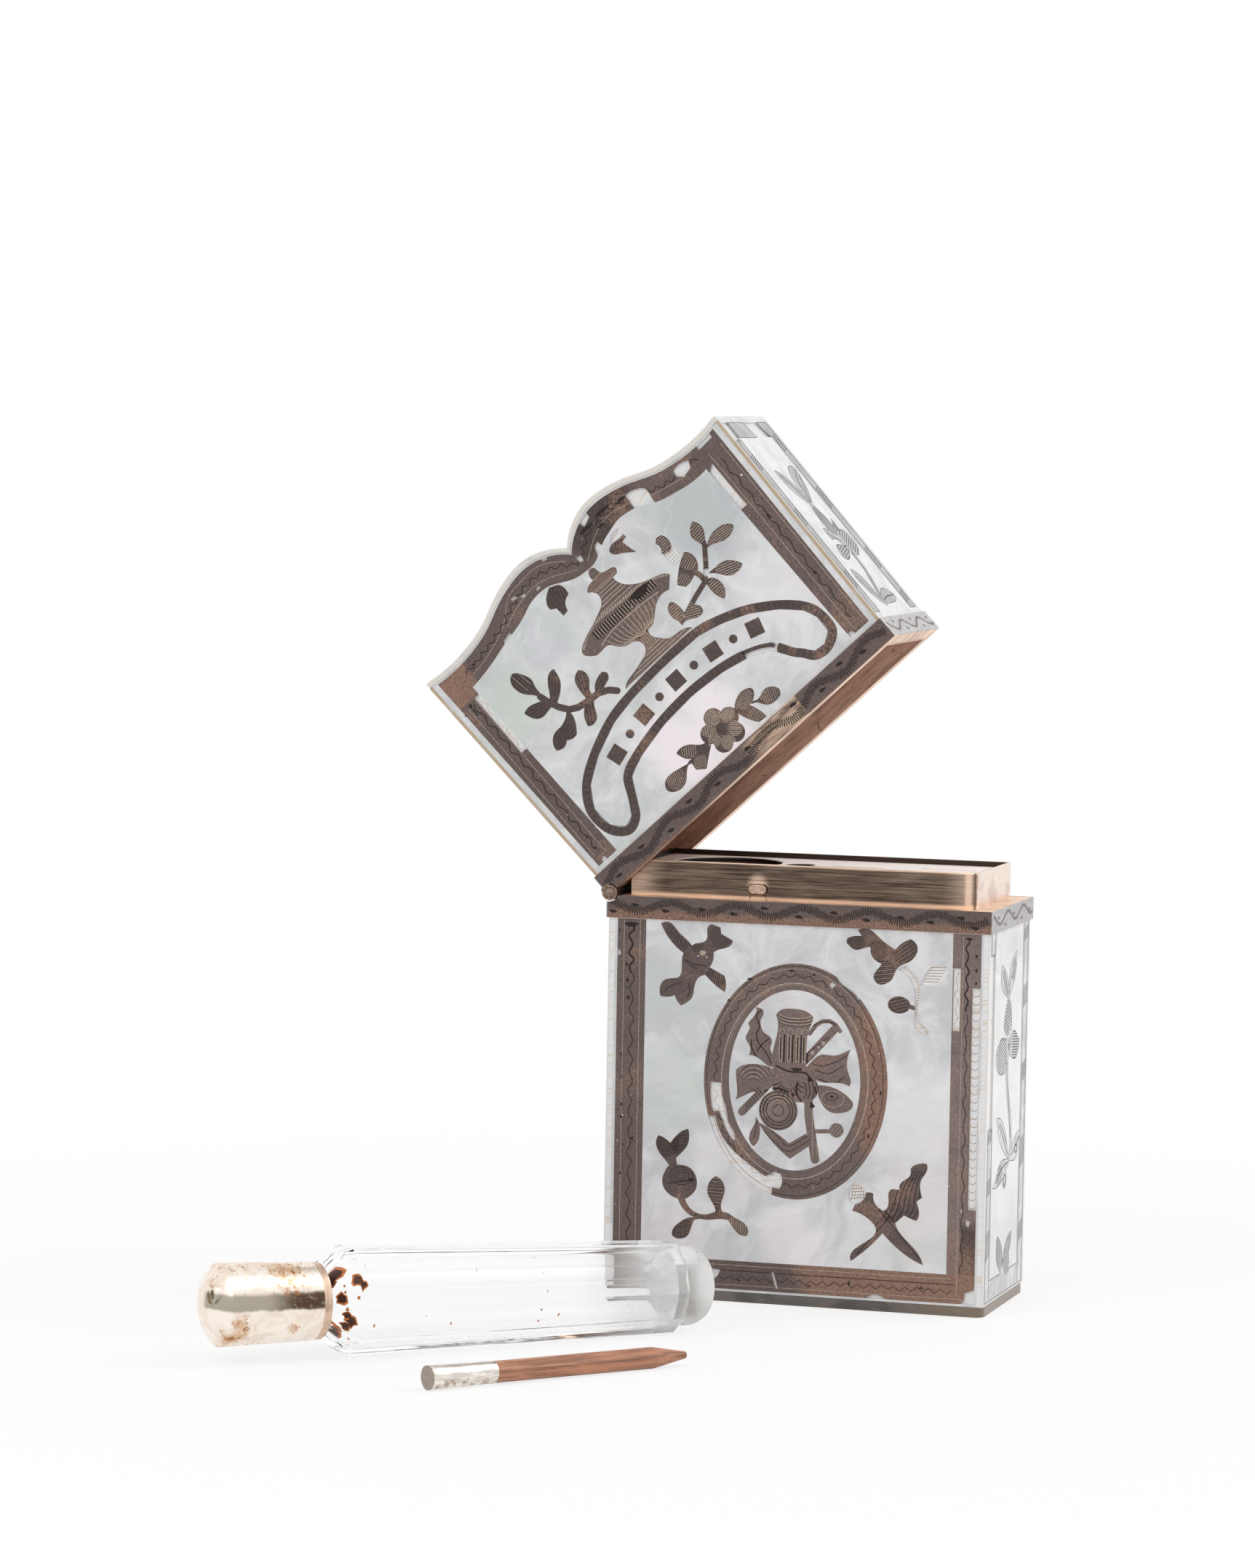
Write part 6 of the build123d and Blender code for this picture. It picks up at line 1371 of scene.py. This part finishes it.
class VANITYCASE_OT_rims(bpy.types.Operator):
    """Finish the rims, the hinge, the collar, the plate, the catch and the lining"""

    bl_idname = "vanity_case.rims"
    bl_label = "Rims and gilt metal"

    def execute(self, context):
        down = Matrix.Translation((0, 0, -joint_height))
        dress(["body_band"], rim_finish("rim body", down, -1.0, 0.9))
        dress(["lid_band"], rim_finish("rim lid", down @ lid_to_shut, 1.0, 0.5, (0.0, 10.2)))
        hinge = ["body_hinge_bar", "body_knuckles", "hinge_pin", "lid_hinge_bar", "lid_knuckles"]
        dress(hinge, gilt_finish("gilt hinge", None, 0.5, 0.9, (1.0, 0.1, 1.0), 0.3))
        dress(["collar"], collar_finish("gilt collar"))
        plate_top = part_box("fitted_plate")[1].z / MM
        for name, *finish in (
            ("catch", "gilt catch", None, 1.0, 0.7, (1.0, 1.0, 1.0)),
            # The plate's walls below its top are painted dark: painted shade in the gap inside the collar.
            ("fitted_plate",
             "gilt plate", None, 1.0, 0.12, (0.06, 1.0, 1.0), 0.38, 0.15, (0.98, 0.89, 0.83), plate_top),
            ("lid_lining",
             "gilt lining", lid_to_shut, 1.0, 0.5, (0.10, 0.3, 1.0), 0.3, 0.6, (0.84, 0.54, 0.40)),
        ):
            dress([name], gilt_finish(*finish))
        soften(["body_band", "lid_band", "collar", "fitted_plate"], sizes().edge_wear)
        return {"FINISHED"}


class VANITYCASE_OT_wood(bpy.types.Operator):
    """Finish the wooden box, the block with the wells and the horn base"""

    bl_idname = "vanity_case.wood"
    bl_label = "Wood and horn"

    def execute(self, context):
        c = colours()
        dress(["body_carcass", "insert_block"], wood_finish("wood body", None, c.wood))
        dress(["lid_carcass"], wood_finish("wood lid", lid_to_shut, c.wood))
        dress(["base_plate"], horn_finish("horn base"))
        soften(["base_plate"], sizes().edge_wear * 3)
        return {"FINISHED"}


class VANITYCASE_OT_bottle(bpy.types.Operator):
    """Finish the scent bottle, its cap and its stopper"""

    bl_idname = "vanity_case.bottle"
    bl_label = "Scent bottle"

    def execute(self, context):
        dress(["bottle_glass"], glass_finish("clear glass"))
        soften(["bottle_glass"], 0.00012)
        dress(["bottle_cap", "cap_boss"], cap_finish("gilt cap"))
        ring = gilt_finish("gilt ring", bottle_view, 1.2, 0.4, (0.3, 0.3, 1.0))
        dress(["bottle_neck_ring"], ring)
        dress(["bottle_stopper"], wood_finish("cork", bottle_view, (0.30, 0.18, 0.10), 0.7))
        # Flecks by their place along the bottle, their angle round it and their reach
        dark = [
            (50.2, 62, 0.8), (48.3, 36, 0.45), (47.8, 28, 0.35), (49.9, 12, 0.45), (49.4, -16, 0.35),
            (48.9, -25, 0.45), (49.3, -36, 0.4), (50.0, -72, 0.75), (49.6, 100, 0.4), (48.8, 142, 0.5),
            (49.9, 196, 0.4), (48.4, 238, 0.5), (50.0, 280, 0.4),
        ]
        rust = [(along, angle, reach * 1.45) for along, angle, reach in dark]
        random.seed(11)
        draw = random.uniform
        rust += [(random.gauss(48.0, 1.4), draw(0, 360), draw(0.08, 0.22)) for _ in range(16)]
        rust += [(draw(20, 40), draw(-80, 80), draw(0.05, 0.16)) for _ in range(14)]
        self.residue("bottle_dark_residue", dark, 0.00003, cut_finish("dark residue", (0.06, 0.014, 0.006)))
        self.residue("bottle_rust_residue", rust, 0.00007, cut_finish("rust residue", (0.55, 0.17, 0.04)))
        return {"FINISHED"}

    def residue(self, name, flecks, gap, material):
        """Dried flecks on the inside of the glass."""
        random.seed(5)
        mesh = nodes["bottle_glass"].data
        mesh.calc_loop_triangles()
        to_row = bottle_view.inverted()
        tree = BVHTree.FromPolygons([bottle_view @ v.co for v in mesh.vertices],
                                    [tuple(t.vertices) for t in mesh.loop_triangles])
        points, faces = [], []
        lowest, highest, neck = 7.0, 50.6, 51.0
        glass_radius, neck_radius, reach_out = 4.6, 0.0018, 0.01
        for along, angle, reach in flecks:
            along = min(max(along, lowest), highest)
            base = len(points)
            ring = []
            for i in range(FLECK_CORNERS):
                turn = 2 * math.pi * i / FLECK_CORNERS
                r = reach * random.uniform(0.6, 1.2)
                ring.append((math.radians(angle) + 1.5 * r * math.cos(turn) / glass_radius,
                             along + r * math.sin(turn)))
            for a, s in (*ring, (math.radians(angle), along)):
                start = Vector((0, 0, min(s, neck))) * MM
                outward = Vector((math.cos(a), math.sin(a), 0))
                hit = tree.ray_cast(start, outward, reach_out)
                distance = hit[3] - gap if hit[0] else neck_radius
                points.append(to_row @ (start + outward * distance))
            faces.extend((base + i, base + (i + 1) % FLECK_CORNERS, base + FLECK_CORNERS)
                         for i in range(FLECK_CORNERS))
        build(name, "bottle", points, faces, material)


class VANITYCASE_OT_stick(bpy.types.Operator):
    """Finish the small stick and its ferrule"""

    bl_idname = "vanity_case.stick"
    bl_label = "Stick"

    def execute(self, context):
        dress(["stick_shaft"], wood_finish("stick wood", stick_view, colours().stick, 0.4))
        dress(["stick_ferrule"], ferrule_finish("ferrule silver"))
        soften(["stick_shaft", "stick_ferrule"], 0.00006)
        return {"FINISHED"}


class VANITYCASE_OT_stage(bpy.types.Operator):
    """Set the floor, the light and the camera"""

    bl_idname = "vanity_case.stage"
    bl_label = "Stage"

    def execute(self, context):
        self.floor()
        self.world(context.scene)
        self.lamp("lamp right", (0.55, 0.25, 0.65), 0.6, 2.6)
        self.lamp("lamp front", (-0.45, -0.85, 0.75), 0.8, 3.6)
        self.camera(context.scene)
        context.scene.view_settings.view_transform = "Standard"
        return {"FINISHED"}

    def floor(self):
        """A pale round floor that is white where it is bare and keeps the shadow."""
        mesh = bpy.data.meshes.new("floor")
        radius = sizes().floor_radius
        turns = [2 * math.pi * i / FLOOR_CORNERS for i in range(FLOOR_CORNERS)]
        ring = [(radius * math.cos(turn), radius * math.sin(turn), -FLOOR_DROP) for turn in turns]
        mesh.from_pydata(ring, [], [tuple(range(FLOOR_CORNERS))])
        f = Finish("floor")
        place = f.node("ShaderNodeTexCoord").other("Object")
        distance = f.node("ShaderNodeVectorMath", {"operation": "LENGTH"}, {0: place}).other("Value")
        seen = f.background_rays() * (0.77 + 0.23 * distance.between(0.07, 0.20))
        plain = f.node("ShaderNodeBsdfDiffuse", {}, {"Color": (0.86, 0.86, 0.86)})
        glow = f.node("ShaderNodeEmission", {}, {"Color": (1.0, 1.0, 1.0), "Strength": 1.0})
        mesh.materials.append(f.mixed_surface(seen, plain, glow))
        floor = add_to_scene("floor", mesh)

    def world(self, scene):
        """A white studio that lights a little less from the front."""
        scene.world = bpy.data.worlds.new("studio")
        f = Finish("studio", scene.world)
        heading = f.node("ShaderNodeTexCoord")
        facing = f.node("ShaderNodeVectorMath", {"operation": "DOT_PRODUCT"},
                        {0: heading, 1: (0.20, -0.96, 0.15)}).other("Value")
        studio = 0.85 - 0.6 * facing.between(0.45, 0.9)
        level = studio + (1.0 - studio) * f.background_rays()
        background = f.node("ShaderNodeBackground", {}, {"Color": (1.0, 1.0, 1.0), "Strength": level})
        f.node("ShaderNodeOutputWorld", {}, {"Surface": background})

    def lamp(self, name, place, size, power):
        """A soft round lamp that points at the case."""
        data = bpy.data.lights.new(name, "AREA")
        data.shape = "DISK"
        data.size = size
        data.energy = power
        lamp = add_to_scene(name, data)
        lamp.location = place
        aim = Vector((0, -0.01, 0.05)) - Vector(place)
        lamp.rotation_euler = aim.to_track_quat("-Z", "Y").to_euler()

    def camera(self, scene):
        """The photograph's view: place, direction and slight roll, fitted to the case's corners."""
        data = bpy.data.cameras.new("camera")
        data.sensor_width = SENSOR_MM
        data.lens = LENS_PIXELS / PHOTO_HEIGHT * SENSOR_MM
        data.clip_start = 0.05
        data.clip_end = 10.0
        place = Vector((179.144, -679.637, 115.738)) * MM
        azimuth, roll = math.radians(16.79), 0.017
        back = Vector((0.28818, -0.95482, 0.07257)).normalized()
        right = Vector((math.cos(azimuth), math.sin(azimuth), 0))
        up = back.cross(right)
        tilted_right = math.cos(roll) * right + math.sin(roll) * up
        tilted_up = -math.sin(roll) * right + math.cos(roll) * up
        basis = Matrix((tilted_right, tilted_up, back)).transposed().to_4x4()
        scene.camera = add_to_scene("camera", data)
        scene.camera.matrix_world = Matrix.Translation(place) @ basis


class VANITYCASE_PT_panel(bpy.types.Panel):
    """Lists the sizes, the colours and the pieces"""

    bl_label = "Vanity case"
    bl_idname = "VANITYCASE_PT_panel"
    bl_space_type = "VIEW_3D"
    bl_region_type = "UI"
    bl_category = "Vanity case"

    def draw(self, context):
        for group in (context.scene.vanity_case_sizes, context.scene.vanity_case_colours):
            box = self.layout.box()
            for name in group.__annotations__:
                box.prop(group, name)
        for operator in PIECES:
            self.layout.operator(operator.bl_idname)


PIECES = (
    VANITYCASE_OT_pearl,
    VANITYCASE_OT_silver,
    VANITYCASE_OT_engraving,
    VANITYCASE_OT_rims,
    VANITYCASE_OT_wood,
    VANITYCASE_OT_bottle,
    VANITYCASE_OT_stick,
    VANITYCASE_OT_stage,
)
CLASSES = (VanityCaseSizes, VanityCaseColours, *PIECES, VANITYCASE_PT_panel)


def register():
    for cls in CLASSES:
        bpy.utils.register_class(cls)
    bpy.types.Scene.vanity_case_sizes = bpy.props.PointerProperty(type=VanityCaseSizes)
    bpy.types.Scene.vanity_case_colours = bpy.props.PointerProperty(type=VanityCaseColours)


def unregister():
    del bpy.types.Scene.vanity_case_colours
    del bpy.types.Scene.vanity_case_sizes
    for cls in reversed(CLASSES):
        bpy.utils.unregister_class(cls)


def main():
    """Dresses the whole case."""
    register()
    bpy.ops.vanity_case.pearl()
    bpy.ops.vanity_case.silver()
    bpy.ops.vanity_case.engraving()
    bpy.ops.vanity_case.rims()
    bpy.ops.vanity_case.wood()
    bpy.ops.vanity_case.bottle()
    bpy.ops.vanity_case.stick()
    bpy.ops.vanity_case.stage()


if __name__ == "__main__":
    main()
